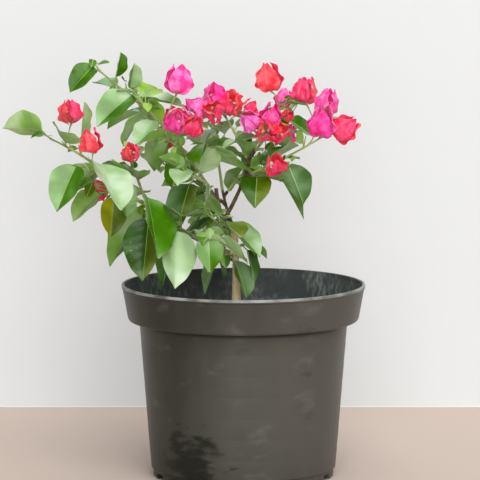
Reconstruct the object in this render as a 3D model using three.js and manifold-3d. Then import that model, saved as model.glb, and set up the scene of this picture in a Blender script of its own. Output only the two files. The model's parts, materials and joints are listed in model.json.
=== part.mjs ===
// A young bougainvillea bush in a round plastic nursery pot.
// Units are millimetres, +Z is up, +X is to the viewer's right and +Y is away from the viewer.
// The origin is the centre of the pot's flat underside.

import * as THREE from "three";
import { mergeVertices } from "three/addons/utils/BufferGeometryUtils.js";
import Module from "manifold-3d";

const wasm = await Module();
wasm.setup();

// Pot: a 24 cm nursery pot with a broad collar and a stepped foot
const POT_HEIGHT = 192;
const RIM_RADIUS = 121;
const COLLAR_HEIGHT = 36;
const COLLAR_FOOT_RADIUS = 114.5;
const BODY_TOP_RADIUS = 103.5;
const BODY_FOOT_RADIUS = 91.8;
const FOOT_RADIUS = 89.5;
const FOOT_HEIGHT = 8;
const FOOT_SPREAD = 0.4;
const POT_WALL = 2.4;
const POT_FLOOR = 2.6;
const POT_SIDES = 44;

// The pot and its soil are turned by a third of a side, so that none of their edges lies square to an axis
const POT_TURN = (2 * Math.PI) / POT_SIDES / 3;

// The collar's rounded lower edge and the thin lip around the rim
const COLLAR_EDGE_HEIGHT = 5;
const COLLAR_EDGE_ROUND = 1.5;
const COLLAR_EDGE_INSET = 4;
const LIP_HEIGHT = 3;
const LIP_WIDTH = 0.9;

// Drain slots cut through the corner of the foot
const SLOT_COUNT = 8;
const SLOT_WIDTH = 15;
const SLOT_HEIGHT = 5.5;
const SLOT_REACH = 16;

// Potting soil: a low mound with a flat top that the trunk stands on
const SOIL_LEVEL = 148;
const SOIL_BOTTOM = 12.5;
const SOIL_EDGE_DROP = 5;
const SOIL_FLAT_RADIUS = 24;
const SOIL_SHOULDER = 0.72;
const SOIL_SHOULDER_DROP = 0.45;

// Clear gap between pieces that meet, and the finest detail that a joined solid keeps
const GAP = 0.3;
const SLIVER = 0.1;

// Limbs and twigs
const TRUNK_SIDES = 9;
const BOUGH_SIDES = 6;
const STEM_SIDES = 4;
const TWIG_SIDES = 3;
const STEPS_PER_LIMB = 6;
const STEPS_PER_STEM = 4;
const ROOT_FLARE = 3.2;
const FLARE_HEIGHT = 0.07;
const COLLAR_CLEARANCE = 1.2;
const COLLAR_WIDTH = 1.12;
const LEAST_SLOPE = 0.35;
const STEEP = 0.85;

// Leaves: how they sit on a shoot and how a blade is shaped
const SPIRAL = THREE.MathUtils.degToRad(137.5);
const FIRST_LEAF = 0.12;
const SPREAD_JITTER = [0.15, 0.85];
const TURN_JITTER = [-1, 1];
const LENGTH_RANGE = [0.7, 1.1];
const ROLL_RANGE = [-0.5, 0.5];
const PETIOLE_FORWARD = 0.5;
const PETIOLE_LIFT = 0.25;
const BLADE_FORWARD = 0.45;
const FACE_OUTWARDS = 0.65;
const FACE_UP = 0.75;
const PETIOLE_SHARE = 0.24;
const PETIOLE_RADIUS = 0.75;
const TERMINAL_REACH = 0.35;
const TIP_ROOT = 0.96;
const LEAF_STATIONS = [0, 0.015, 0.14, 0.38, 0.68, 0.9, 1];
const LEAF_OUTLINE = { scale: 2.95, footPower: 0.6, tipPower: 1.05 };
const LEAF_WIDTH = 0.76;
const LEAF_THICKNESS = 0.02;
const LEAF_FOLD = 0.22;
const LEAF_SAG = 0.12;
const BLADE_RIM = 4;

// Blooms: three papery bracts on a thin stalk
const BRACTS = 3;
const BRACT_STATIONS = [0, 0.16, 0.5, 0.82, 1];
const BRACT_FOOT_POWER = 0.95;
const OPENING_JITTER = 0.15;
const BRACT_WIDTH = 0.74;
const BRACT_OPENING = 0.74;
const BRACT_CURL = 0.45;
const BRACT_FOLD = -0.12;
const STALK_RADIUS = 0.7;
const BLOOM_FOOT_RADIUS = 2.6;
const BLOOM_FOOT_SHARE = 0.5;
const STALK_BOW = 0.4;
const BLOOM_LIFT = 0.35;
const BLOOM_STREAM = 5000;

// A shoot's own stem
const STEM_ROOT_RADIUS = 1.5;
const STEM_TIP_RADIUS = 0.8;

const UP = new THREE.Vector3(0, 0, 1);
const DEPTH = new THREE.Vector3(0, 1, 0);

// The bush's woody limbs. A limb starts on its parent's axis, "at" that share of its length, and ends
// at "to"; "bow" bends it away from the straight line.
const limbPlan = [
  {
    name: "trunk", from: [-7, 0, SOIL_LEVEL + GAP], to: [-8, 0, 252], bow: [0.5, 0, 0],
    rootRadius: 5.1, tipRadius: 2.2, stub: { at: 0.54, to: [-1, -3, 208], radius: 1.4 },
  },
  {
    name: "pruned_leader", parent: "trunk", at: 0.84, to: [-27, 2, 287], bow: [-8, -2, -3],
    rootRadius: 2.7, tipRadius: 1.9,
  },
  {
    name: "left_bough", parent: "trunk", at: 0.7, to: [-129, -38, 303], bow: [-2, -4, -18],
    rootRadius: 2.6, tipRadius: 1.5,
  },
  {
    name: "upper_left_bough", parent: "pruned_leader", at: 0.72, to: [-84, 12, 354], bow: [5, 0, 2],
    rootRadius: 2, tipRadius: 1.3,
  },
  {
    name: "right_bough", parent: "pruned_leader", at: 0.42, to: [10, 6, 327], bow: [5, 2, -5],
    rootRadius: 2.1, tipRadius: 1.4,
  },
  {
    name: "back_bough", parent: "trunk", at: 0.93, to: [-21, 62, 278], bow: [0, 8, -12],
    rootRadius: 2, tipRadius: 1.4,
  },
];

// Numbers that look random but come out the same on every run
function seededRandom(seed) {
  const modulus = 2147483647;
  const multiplier = 16807;
  const spread = 69621;
  const warmUp = 3;
  let state = (seed * spread) % modulus;
  const next = () => {
    state = (state * multiplier) % modulus;
    return state / modulus;
  };
  for (let i = 0; i < warmUp; i += 1) next();
  return (low, high) => low + (high - low) * next();
}

function vector(values) {
  return new THREE.Vector3(...values);
}

// A curve from one point to another that bows away from the straight line
function bowedCurve(from, to, bow) {
  const middle = from.clone().add(to).multiplyScalar(0.5).add(bow);
  return new THREE.QuadraticBezierCurve3(from, middle, to);
}

// The sideways and lifting directions across a curve at one place
function acrossCurve(curve, along) {
  const chord = curve.getPoint(1).sub(curve.getPoint(0)).normalize();
  const reference = Math.abs(chord.z) > STEEP ? DEPTH : UP;
  const tangent = curve.getTangent(along);
  const side = tangent.clone().cross(reference).normalize();
  const lift = side.clone().cross(tangent);
  return { tangent, side, lift };
}

// A closed three.js geometry as a solid that can be joined and cut
function solidOf(geometry) {
  geometry.deleteAttribute("normal");
  geometry.deleteAttribute("uv");
  const merged = mergeVertices(geometry);
  const mesh = new wasm.Mesh({
    numProp: 3,
    vertProperties: new Float32Array(merged.attributes.position.array),
    triVerts: new Uint32Array(merged.index.array),
  });
  return new wasm.Manifold(mesh);
}

// A solid as a named mesh in its own colour
function meshOf(name, solid, finish) {
  const { vertProperties, triVerts } = solid.getMesh();
  const geometry = new THREE.BufferGeometry();
  geometry.setAttribute("position", new THREE.BufferAttribute(vertProperties, 3));
  geometry.setIndex(new THREE.BufferAttribute(triVerts, 1));
  geometry.computeVertexNormals();
  const mesh = new THREE.Mesh(geometry, new THREE.MeshStandardMaterial(finish));
  mesh.name = name;
  return mesh;
}

function moveVertices(geometry, place) {
  const position = geometry.attributes.position;
  const vertex = new THREE.Vector3();
  for (let i = 0; i < position.count; i += 1) {
    vertex.fromBufferAttribute(position, i);
    const moved = place(vertex);
    position.setXYZ(i, moved.x, moved.y, moved.z);
  }
  return geometry;
}

// A closed cylinder bent along one stretch of a curve, with a radius that changes on the way
function bentCylinder(curve, start, end, radiusAt, sides, steps) {
  const cylinder = new THREE.CylinderGeometry(1, 1, 1, sides, steps);
  const halfHeight = 0.5;
  return solidOf(moveVertices(cylinder, ({ x, y, z }) => {
    const along = start + (end - start) * (y + halfHeight);
    const { side, lift } = acrossCurve(curve, along);
    const radius = radiusAt(along);
    return curve.getPoint(along).addScaledVector(side, x * radius).addScaledVector(lift, z * radius);
  }));
}

// A pointed blade, such as a leaf or a bract: a four-sided sphere, drawn out to a list of stations along
// the blade. "spine" gives a station's middle, and "halfWidth" and "halfDepth" its size there.
function bladeSolid({ axis, normal, stations, spine, halfWidth, halfDepth, fold }) {
  const side = axis.clone().cross(normal);
  const rings = stations.length - 1;
  const sphere = new THREE.SphereGeometry(1, BLADE_RIM, rings);
  return solidOf(moveVertices(sphere, ({ x, y, z }) => {
    const along = stations[Math.round((1 - Math.acos(y) / Math.PI) * rings)];
    const edge = Math.abs(x) > Math.abs(z) ? Math.sign(x) : 0;
    const face = edge === 0 ? Math.sign(z) : 0;
    const width = halfWidth(along);
    return spine(along)
      .addScaledVector(side, edge * width)
      .addScaledVector(normal, Math.abs(edge) * width * fold + face * halfDepth(along));
  }));
}

// Half width of a bougainvillea leaf along its length: broad near the foot, drawn out to a point
function leafOutline(along) {
  const { scale, footPower, tipPower } = LEAF_OUTLINE;
  return scale * along ** footPower * (1 - along) ** tipPower;
}

// Half width of a papery bract: an oval that narrows evenly to its foot and its point
function bractOutline(along) {
  return Math.sin(Math.PI * along ** BRACT_FOOT_POWER);
}

// A closed solid turned from a profile of radius and height
function turnedSolid(profile) {
  return solidOf(new THREE.LatheGeometry(profile, POT_SIDES).rotateX(Math.PI / 2).rotateZ(POT_TURN));
}

// Pot
function potSolid() {
  const collarFoot = POT_HEIGHT - COLLAR_HEIGHT;
  const outer = [
    [0, 0],
    [FOOT_RADIUS, 0],
    [FOOT_RADIUS + FOOT_SPREAD, FOOT_HEIGHT],
    [BODY_FOOT_RADIUS, FOOT_HEIGHT + 1],
    [BODY_TOP_RADIUS, collarFoot],
    [COLLAR_FOOT_RADIUS - COLLAR_EDGE_INSET, collarFoot],
    [COLLAR_FOOT_RADIUS - 1, collarFoot + COLLAR_EDGE_ROUND],
    [COLLAR_FOOT_RADIUS, collarFoot + COLLAR_EDGE_HEIGHT],
    [RIM_RADIUS - LIP_WIDTH, POT_HEIGHT - LIP_HEIGHT - 1],
    [RIM_RADIUS, POT_HEIGHT - LIP_HEIGHT],
    [RIM_RADIUS, POT_HEIGHT],
  ];
  const innerRim = RIM_RADIUS - LIP_WIDTH - POT_WALL;
  const innerShoulder = collarFoot - LIP_HEIGHT;
  const inner = [
    [innerRim, POT_HEIGHT],
    [innerRim, POT_HEIGHT - LIP_HEIGHT],
    [COLLAR_FOOT_RADIUS - POT_WALL, collarFoot + COLLAR_EDGE_HEIGHT],
    [innerRadius(innerShoulder), innerShoulder],
    [innerRadius(SOIL_BOTTOM), SOIL_BOTTOM],
    [FOOT_RADIUS - 2 * POT_WALL, POT_FLOOR],
    [0, POT_FLOOR],
  ];
  const profile = [...outer, ...inner, [0, 0]].map(([radius, height]) => new THREE.Vector2(radius, height));
  let pot = turnedSolid(profile);
  for (let i = 0; i < SLOT_COUNT; i += 1) {
    const slot = new THREE.BoxGeometry(SLOT_REACH, SLOT_WIDTH, SLOT_HEIGHT * 2);
    slot.translate(FOOT_RADIUS, 0, 0).rotateZ(((i + 0.5) / SLOT_COUNT) * 2 * Math.PI);
    pot = pot.subtract(solidOf(slot));
  }
  return pot;
}

// Inside radius of the pot's body at a height
function innerRadius(height) {
  const collarFoot = POT_HEIGHT - COLLAR_HEIGHT;
  const share = (height - FOOT_HEIGHT) / (collarFoot - FOOT_HEIGHT);
  return BODY_FOOT_RADIUS + (BODY_TOP_RADIUS - BODY_FOOT_RADIUS) * share - POT_WALL;
}

// Soil
function soilSolid() {
  const bottom = SOIL_BOTTOM + GAP;
  const edge = SOIL_LEVEL - SOIL_EDGE_DROP;
  const profile = [
    [0, bottom],
    [innerRadius(bottom) - GAP, bottom],
    [innerRadius(edge) - GAP, edge],
    [innerRadius(edge) * SOIL_SHOULDER, SOIL_LEVEL - SOIL_EDGE_DROP * SOIL_SHOULDER_DROP],
    [SOIL_FLAT_RADIUS, SOIL_LEVEL],
    [0, SOIL_LEVEL],
  ].map(([radius, height]) => new THREE.Vector2(radius, height));
  return turnedSolid(profile);
}

// Limbs
function layOutLimb(plan, limbs) {
  const parent = limbs.get(plan.parent);
  const from = parent ? parent.curve.getPoint(plan.at) : vector(plan.from);
  const curve = bowedCurve(from, vector(plan.to), vector(plan.bow));
  const taper = (along) => THREE.MathUtils.lerp(plan.rootRadius, plan.tipRadius, along);
  const flare = (along) => (parent ? 0 : ROOT_FLARE * Math.exp(-along / FLARE_HEIGHT));
  const radiusAt = (along) => taper(along) + flare(along);
  return { ...plan, curve, radiusAt, start: rootStart(curve, radiusAt(0), parent, plan.at), collars: [] };
}

// Where a limb or stem starts on its own curve, so that it clears its parent: at the parent's tip it
// carries straight on, and on the parent's side it stands on a collar that belongs to the parent
function rootStart(curve, radius, parent, at) {
  if (!parent) return 0;
  const lengthPerShare = 2 * curve.v0.distanceTo(curve.v1);
  const slope = curve.getTangent(0).angleTo(parent.curve.getTangent(at));
  if (at === 1) return (GAP + radius * Math.sin(slope)) / lengthPerShare;
  const clearance = parent.radiusAt(at) + radius + COLLAR_CLEARANCE;
  const collarReach = clearance / Math.max(Math.sin(slope), LEAST_SLOPE);
  const collarEnd = collarReach / lengthPerShare;
  const collarRadius = radius * COLLAR_WIDTH;
  parent.collars.push(() => bentCylinder(curve, 0, collarEnd, () => collarRadius, BOUGH_SIDES, 1));
  return (collarReach + GAP) / lengthPerShare;
}

function limbSolid(limb) {
  const { curve, stub } = limb;
  const sides = limb.parent ? BOUGH_SIDES : TRUNK_SIDES;
  let solid = bentCylinder(curve, limb.start, 1, limb.radiusAt, sides, STEPS_PER_LIMB);
  if (stub) {
    const stubLine = new THREE.LineCurve3(curve.getPoint(stub.at), vector(stub.to));
    solid = solid.add(bentCylinder(stubLine, 0, 1, () => stub.radius, STEM_SIDES, 1));
  }
  for (const collar of limb.collars) solid = solid.add(collar());
  return solid;
}

// Shoots: the masses of foliage, each a stem with its leaves and blooms

// Where a shoot's leaves sit and how each one hangs, by a seeded rule: they spiral up the stem, reach
// outwards from it, droop by the shoot's own range, and the last one carries on from the stem's tip
function layOutLeaves(shoot, curve) {
  const between = seededRandom(shoot.seed);
  const firstTurn = between(0, 2 * Math.PI);
  const leaves = [];
  for (let i = 0; i < shoot.leaves; i += 1) {
    const terminal = i === shoot.leaves - 1;
    const spread = FIRST_LEAF + ((1 - FIRST_LEAF) * (i + between(...SPREAD_JITTER))) / shoot.leaves;
    const turn = firstTurn + i * SPIRAL + between(...TURN_JITTER);
    const droop = between(...shoot.droop);
    const length = shoot.leafLength * between(...LENGTH_RANGE);
    const roll = between(...ROLL_RANGE);
    const { tangent, side, lift } = acrossCurve(curve, terminal ? 1 : spread);
    const node = curve.getPoint(terminal ? 1 : spread);
    const out = side.multiplyScalar(Math.cos(turn)).addScaledVector(lift, Math.sin(turn));
    const reach = out.clone().multiplyScalar(terminal ? TERMINAL_REACH : 1);
    const petiole = reach.clone().addScaledVector(tangent, PETIOLE_FORWARD)
      .addScaledVector(UP, PETIOLE_LIFT).normalize();
    const base = node.clone().addScaledVector(petiole, PETIOLE_SHARE * length);
    const axis = reach.clone().addScaledVector(tangent, BLADE_FORWARD)
      .addScaledVector(UP, -droop).normalize();
    const facing = new THREE.Vector3(out.x * FACE_OUTWARDS, out.y * FACE_OUTWARDS, FACE_UP);
    const normal = facing.addScaledVector(axis, -facing.dot(axis)).normalize().applyAxisAngle(axis, -roll);
    const root = terminal ? curve.getPoint(TIP_ROOT) : node;
    leaves.push({ root, base, axis, normal, length });
  }
  return leaves;
}

// A leaf is one closed blade whose narrow foot, the petiole, starts inside the stem
function leafSolid({ root, base, axis, normal, length }) {
  const petioleEnd = LEAF_STATIONS[2];
  const onBlade = (along) => (along - petioleEnd) / (1 - petioleEnd);
  const end = (along) => along === 0 || along === 1;
  return bladeSolid({
    axis,
    normal,
    stations: LEAF_STATIONS,
    fold: LEAF_FOLD,
    spine: (along) => {
      if (along <= petioleEnd) return root.clone().lerp(base, along / petioleEnd);
      const share = onBlade(along);
      const sag = LEAF_SAG * share ** 2 * length;
      return base.clone().addScaledVector(axis, share * length).addScaledVector(UP, -sag);
    },
    halfWidth: (along) => {
      if (end(along)) return 0;
      if (along <= petioleEnd) return PETIOLE_RADIUS;
      return (LEAF_WIDTH / 2) * length * leafOutline(onBlade(along));
    },
    halfDepth: (along) => {
      if (end(along)) return 0;
      if (along <= petioleEnd) return PETIOLE_RADIUS;
      return (LEAF_THICKNESS / 2) * length;
    },
  });
}

// Two directions square to a bloom's axis
function acrossAxis(axis) {
  const side = axis.clone().cross(DEPTH).normalize();
  return { side, lift: side.clone().cross(axis) };
}

function bloomSolid(curve, bloom, between) {
  const centre = vector(bloom.centre);
  const node = curve.getPoint(Math.min(bloom.at, TIP_ROOT));
  const distance = centre.distanceTo(node);
  const axis = centre.clone().sub(node).divideScalar(distance).addScaledVector(UP, BLOOM_LIFT).normalize();
  const base = centre.clone().addScaledVector(axis, -bloom.length / 2);
  const { side, lift } = acrossAxis(axis);
  const elbow = node.clone().addScaledVector(curve.getTangent(bloom.at), distance * STALK_BOW);
  const stalk = new THREE.QuadraticBezierCurve3(node, elbow, base);
  let solid = bentCylinder(stalk, 0, 1, () => STALK_RADIUS, TWIG_SIDES, 2);
  const foot = new THREE.SphereGeometry(BLOOM_FOOT_RADIUS, BOUGH_SIDES, TWIG_SIDES);
  solid = solid.add(solidOf(foot.translate(...base.toArray())));
  const firstTurn = between(0, 2 * Math.PI);
  for (let i = 0; i < BRACTS; i += 1) {
    const turn = firstTurn + (i / BRACTS) * 2 * Math.PI;
    const opening = BRACT_OPENING + between(-OPENING_JITTER, OPENING_JITTER);
    const out = side.clone().multiplyScalar(Math.cos(turn)).addScaledVector(lift, Math.sin(turn));
    const start = base.clone().addScaledVector(out, BLOOM_FOOT_RADIUS * BLOOM_FOOT_SHARE);
    const bractAxis = axis.clone().multiplyScalar(Math.cos(opening)).addScaledVector(out, Math.sin(opening));
    solid = solid.add(bladeSolid({
      axis: bractAxis,
      normal: out.clone().multiplyScalar(Math.cos(opening)).addScaledVector(axis, -Math.sin(opening)),
      stations: BRACT_STATIONS,
      fold: BRACT_FOLD,
      spine: (along) => start.clone()
        .addScaledVector(bractAxis, along * bloom.length)
        .addScaledVector(out, -BRACT_CURL * along ** 2 * bloom.length),
      halfWidth: (along) => (BRACT_WIDTH / 2) * bloom.length * bractOutline(along),
      halfDepth: (along) => (LEAF_THICKNESS / 2) * bloom.length * Math.min(1, 4 * along * (1 - along)),
    }));
  }
  return solid;
}

// A shoot's stem with its blooms, before any leaf
function shootFrame(shoot, limbs) {
  const parent = limbs.get(shoot.parent);
  const curve = bowedCurve(parent.curve.getPoint(shoot.at), vector(shoot.to), vector(shoot.bow));
  const start = rootStart(curve, STEM_ROOT_RADIUS, parent, shoot.at);
  const radiusAt = (along) => THREE.MathUtils.lerp(STEM_ROOT_RADIUS, STEM_TIP_RADIUS, along);
  const between = seededRandom(shoot.seed + BLOOM_STREAM);
  let solid = bentCylinder(curve, start, 1, radiusAt, STEM_SIDES, STEPS_PER_STEM);
  for (const bloom of shoot.blooms) solid = solid.add(bloomSolid(curve, bloom, between));
  return { ...shoot, curve, solid };
}

function touchesAny(solid, others) {
  return others.some((other) => solid.minGap(other, 2 * GAP) < GAP);
}

// The part of a leaf that lies beyond its petiole
function bladeOf(solid, { base, axis }) {
  return solid.trimByPlane(axis.toArray(), axis.dot(base));
}

// The largest closed body of a joined solid, without the slivers that joining leaves: a loose scrap is
// dropped, and a sealed hollow inside is filled
function wholeBody(solid) {
  const bodies = solid.simplify(SLIVER).decompose();
  return bodies.reduce((best, body) => (body.volume() > best.volume() ? body : best));
}

// Each shoot meets its limb "at" a share of the limb's length and runs "to" its own tip. Leaves hang
// within its range of droop, and each bloom leaves the stem "at" a share of the stem's length.
const shootPlan = [
  {
    name: "left_drooping_shoot", parent: "left_bough", at: 0.92, to: [-155, -72, 317], bow: [0, 0, 3],
    leaves: 4, leafLength: 56, droop: [0.3, 2.2], seed: 52651,
    blooms: [{ at: 0.6, centre: [-149, -60, 343], length: 28 }],
  },
  {
    name: "left_tip_shoot", parent: "left_bough", at: 1, to: [-189, -52, 342], bow: [0, 0, 5],
    leaves: 4, leafLength: 46, droop: [-0.3, 1.2], seed: 109972,
    blooms: [{ at: 0.55, centre: [-170, -46, 370], length: 28 }],
  },
  {
    name: "left_under_shoot", parent: "left_bough", at: 0.8, to: [-142, -58, 294], bow: [0, -4, 0],
    leaves: 4, leafLength: 48, droop: [0.3, 1.8], seed: 108658,
    blooms: [{ at: 0.5, centre: [-144, -30, 290], length: 24 }],
  },
  {
    name: "left_inner_shoot", parent: "left_bough", at: 0.7, to: [-111, -30, 318], bow: [0, 0, 0],
    leaves: 4, leafLength: 32, droop: [-0.2, 1.2], seed: 298963,
    blooms: [{ at: 0.8, centre: [-110, -44, 329], length: 22 }],
  },
  {
    name: "left_hanging_shoot", parent: "left_bough", at: 0.58, to: [-95, -66, 276], bow: [0, 0, 4],
    leaves: 4, leafLength: 66, droop: [0.8, 2.8], seed: 396512,
    blooms: [],
  },
  {
    name: "front_hanging_shoot", parent: "left_bough", at: 0.36, to: [-66, -66, 255], bow: [0, 0, 4],
    leaves: 4, leafLength: 58, droop: [0.4, 2.8], seed: 260475,
    blooms: [],
  },
  {
    name: "low_front_shoot", parent: "trunk", at: 0.62, to: [-34, -66, 241], bow: [0, 0, 0],
    leaves: 4, leafLength: 48, droop: [0.3, 2.6], seed: 359414,
    blooms: [],
  },
  {
    name: "low_middle_shoot", parent: "trunk", at: 0.78, to: [-37, -40, 267], bow: [0, 0, 6],
    leaves: 5, leafLength: 42, droop: [0, 2.2], seed: 309329,
    blooms: [],
  },
  {
    name: "low_right_shoot", parent: "trunk", at: 0.76, to: [5, -22, 234], bow: [0, 0, 3],
    leaves: 3, leafLength: 38, droop: [0.3, 2.4], seed: 224992,
    blooms: [],
  },
  {
    name: "right_leafy_shoot", parent: "right_bough", at: 0.5, to: [40, -16, 307], bow: [0, 0, 0],
    leaves: 5, leafLength: 52, droop: [0.1, 2.2], seed: 103556,
    blooms: [{ at: 0.8, centre: [31, -34, 316], length: 27 }],
  },
  {
    name: "upper_left_tip_shoot", parent: "upper_left_bough", at: 1, to: [-143, 24, 402], bow: [0, 0, 0],
    leaves: 6, leafLength: 34, droop: [-0.7, 1.6], seed: 2279,
    blooms: [],
  },
  {
    name: "upper_left_middle_shoot", parent: "upper_left_bough", at: 0.86, to: [-102, 2, 374], bow: [0, 0, 0],
    leaves: 5, leafLength: 44, droop: [-0.3, 1.8], seed: 148449,
    blooms: [],
  },
  {
    name: "centre_left_shoot", parent: "upper_left_bough", at: 0.6, to: [-74, -24, 338], bow: [0, 0, 0],
    leaves: 4, leafLength: 32, droop: [-0.3, 1.4], seed: 364906,
    blooms: [
      { at: 0.7, centre: [-66, -50, 360], length: 26 },
      { at: 0.8, centre: [-48, -46, 356], length: 26 },
      { at: 1, centre: [-64, -10, 399], length: 34 },
    ],
  },
  {
    name: "centre_shoot", parent: "upper_left_bough", at: 0.25, to: [-58, -34, 307], bow: [0, 0, 0],
    leaves: 5, leafLength: 42, droop: [-0.2, 1.4], seed: 207347,
    blooms: [],
  },
  {
    name: "centre_high_shoot", parent: "upper_left_bough", at: 0.45, to: [-37, -16, 329], bow: [0, 0, 0],
    leaves: 5, leafLength: 42, droop: [-0.3, 1.2], seed: 149611,
    blooms: [],
  },
  {
    name: "top_shoot", parent: "right_bough", at: 0.8, to: [-17, 2, 357], bow: [0, 0, 4],
    leaves: 4, leafLength: 32, droop: [-0.3, 1.2], seed: 254364,
    blooms: [
      { at: 0.8, centre: [6, 0, 369], length: 20 },
      { at: 0.9, centre: [-12, -14, 376], length: 30 },
      { at: 1, centre: [-37, -22, 375], length: 42 },
    ],
  },
  {
    name: "right_top_shoot", parent: "right_bough", at: 1, to: [39, 6, 368], bow: [0, 0, 0],
    leaves: 5, leafLength: 28, droop: [-0.3, 1], seed: 231368,
    blooms: [
      { at: 0.35, centre: [37, -18, 346], length: 26 },
      { at: 0.45, centre: [18, -26, 358], length: 40 },
      { at: 0.7, centre: [45, 4, 360], length: 14 },
      { at: 0.75, centre: [25, 6, 400], length: 33 },
      { at: 1, centre: [41, 14, 377], length: 22 },
    ],
  },
  {
    name: "right_tip_shoot", parent: "right_bough", at: 0.64, to: [83, -8, 342], bow: [-8, 0, -8],
    leaves: 4, leafLength: 20, droop: [-0.3, 1], seed: 100298,
    blooms: [
      { at: 0.75, centre: [62, 4, 387], length: 30 },
      { at: 0.85, centre: [84, -4, 376], length: 30 },
      { at: 0.9, centre: [78, -14, 357], length: 34 },
      { at: 1, centre: [103, -8, 349], length: 32 },
    ],
  },
  {
    name: "back_left_shoot", parent: "back_bough", at: 0.75, to: [-78, 92, 299], bow: [0, 0, 6],
    leaves: 7, leafLength: 42, droop: [-0.2, 1.6], seed: 147768,
    blooms: [{ at: 1, centre: [-80, 100, 330], length: 28 }],
  },
  {
    name: "back_right_shoot", parent: "back_bough", at: 0.9, to: [19, 96, 309], bow: [0, 0, 6],
    leaves: 7, leafLength: 42, droop: [-0.2, 1.6], seed: 131229,
    blooms: [
      { at: 0.8, centre: [44, 88, 335], length: 28 },
      { at: 1, centre: [20, 104, 345], length: 30 },
    ],
  },
  {
    name: "back_top_shoot", parent: "back_bough", at: 1, to: [-32, 74, 348], bow: [0, 0, 6],
    leaves: 6, leafLength: 38, droop: [-0.2, 1.4], seed: 19314,
    blooms: [
      { at: 0.8, centre: [-58, 80, 352], length: 28 },
      { at: 1, centre: [-30, 85, 372], length: 30 },
    ],
  },
  {
    name: "back_upper_left_shoot", parent: "upper_left_bough", at: 0.72, to: [-94, 66, 337], bow: [0, 0, 6],
    leaves: 6, leafLength: 40, droop: [-0.2, 1.6], seed: 334452,
    blooms: [{ at: 0.9, centre: [-70, 84, 352], length: 26 }],
  },
  {
    name: "back_upper_right_shoot", parent: "right_bough", at: 0.9, to: [47, 62, 355], bow: [0, 0, 6],
    leaves: 6, leafLength: 32, droop: [-0.2, 1.4], seed: 290973,
    blooms: [{ at: 1, centre: [60, 72, 380], length: 30 }],
  },
  {
    name: "back_low_shoot", parent: "back_bough", at: 0.4, to: [-40, 90, 239], bow: [0, 0, 6],
    leaves: 6, leafLength: 46, droop: [0.2, 2], seed: 231926,
    blooms: [],
  },
];

// Finishes
const plastic = { color: 0x56534d, roughness: 0.55, metalness: 0 };
const compost = { color: 0x3a2d22, roughness: 0.95, metalness: 0 };
const paleBark = { color: 0xb89b7c, roughness: 0.8, metalness: 0 };
const darkBark = { color: 0x5f4c38, roughness: 0.8, metalness: 0 };
const greenBark = { color: 0x8a9a5c, roughness: 0.7, metalness: 0 };
const foliage = { color: 0x4c7f2c, roughness: 0.45, metalness: 0 };
const blossom = { color: 0xe23a68, roughness: 0.6, metalness: 0 };
const barkOf = { trunk: paleBark, left_bough: greenBark, upper_left_bough: greenBark };
const MANY_BLOOMS = 3;

// The pot and its soil
const bush = new THREE.Group();
const pot = potSolid();
const soil = soilSolid();
bush.add(meshOf("pot", pot, plastic));
bush.add(meshOf("soil", soil, compost));

// The limbs and the shoots' stems are laid out first, so that each limb has its collars
const limbs = new Map();
for (const plan of limbPlan) limbs.set(plan.name, layOutLimb(plan, limbs));
const shoots = shootPlan.map((shoot) => shootFrame(shoot, limbs));
const limbSolids = [...limbs.values()].map((limb) => wholeBody(limbSolid(limb)));
[...limbs.keys()].forEach((name, i) => bush.add(meshOf(name, limbSolids[i], barkOf[name] ?? darkBark)));

// Then the leaves: one that would touch the pot, a limb or another shoot is skipped, and so is one whose
// blade would cross its own shoot
for (const shoot of shoots) {
  const others = shoots.filter((other) => other !== shoot).map((other) => other.solid);
  const obstacles = [pot, soil, ...limbSolids, ...others];
  for (const leaf of layOutLeaves(shoot, shoot.curve)) {
    const solid = leafSolid(leaf);
    const clear = !touchesAny(solid, obstacles) && !touchesAny(bladeOf(solid, leaf), [shoot.solid]);
    if (clear) shoot.solid = shoot.solid.add(solid);
  }
  const finish = shoot.blooms.length >= MANY_BLOOMS ? blossom : foliage;
  bush.add(meshOf(shoot.name, wholeBody(shoot.solid), finish));
}

export default bush;
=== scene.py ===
"""A young bougainvillea bush in a round nursery pot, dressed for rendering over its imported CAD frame.

Shapes are worked out in millimetres, in the CAD model's frame, and turned into metres when a mesh is made.
"""

from __future__ import annotations

import json
import logging
import math
from dataclasses import dataclass, field, replace
from enum import Enum, IntEnum
from functools import cache

import bmesh
import bpy
import numpy as np
from mathutils import Euler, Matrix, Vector, noise
from mathutils.bvhtree import BVHTree

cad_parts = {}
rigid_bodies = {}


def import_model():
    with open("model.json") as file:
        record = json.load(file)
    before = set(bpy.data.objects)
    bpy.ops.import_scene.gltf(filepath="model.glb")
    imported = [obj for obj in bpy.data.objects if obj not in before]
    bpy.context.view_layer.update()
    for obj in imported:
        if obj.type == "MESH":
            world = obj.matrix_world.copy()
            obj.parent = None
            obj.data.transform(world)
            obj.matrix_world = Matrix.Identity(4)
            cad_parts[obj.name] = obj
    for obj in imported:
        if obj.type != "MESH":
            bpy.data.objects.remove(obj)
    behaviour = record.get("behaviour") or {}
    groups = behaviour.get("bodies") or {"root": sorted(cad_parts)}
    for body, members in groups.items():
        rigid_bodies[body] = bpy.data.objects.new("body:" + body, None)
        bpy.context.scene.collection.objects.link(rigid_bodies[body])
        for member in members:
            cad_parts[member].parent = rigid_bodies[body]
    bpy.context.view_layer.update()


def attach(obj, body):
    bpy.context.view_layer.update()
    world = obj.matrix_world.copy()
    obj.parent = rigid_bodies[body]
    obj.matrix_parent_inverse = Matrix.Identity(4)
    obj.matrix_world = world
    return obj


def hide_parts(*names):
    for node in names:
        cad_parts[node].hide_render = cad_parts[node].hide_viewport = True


log = logging.getLogger("bougainvillea")

MM = 0.001
UP = np.array([0.0, 0.0, 1.0])
DEPTH = np.array([0.0, 1.0, 0.0])
BODY = "root"

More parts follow.
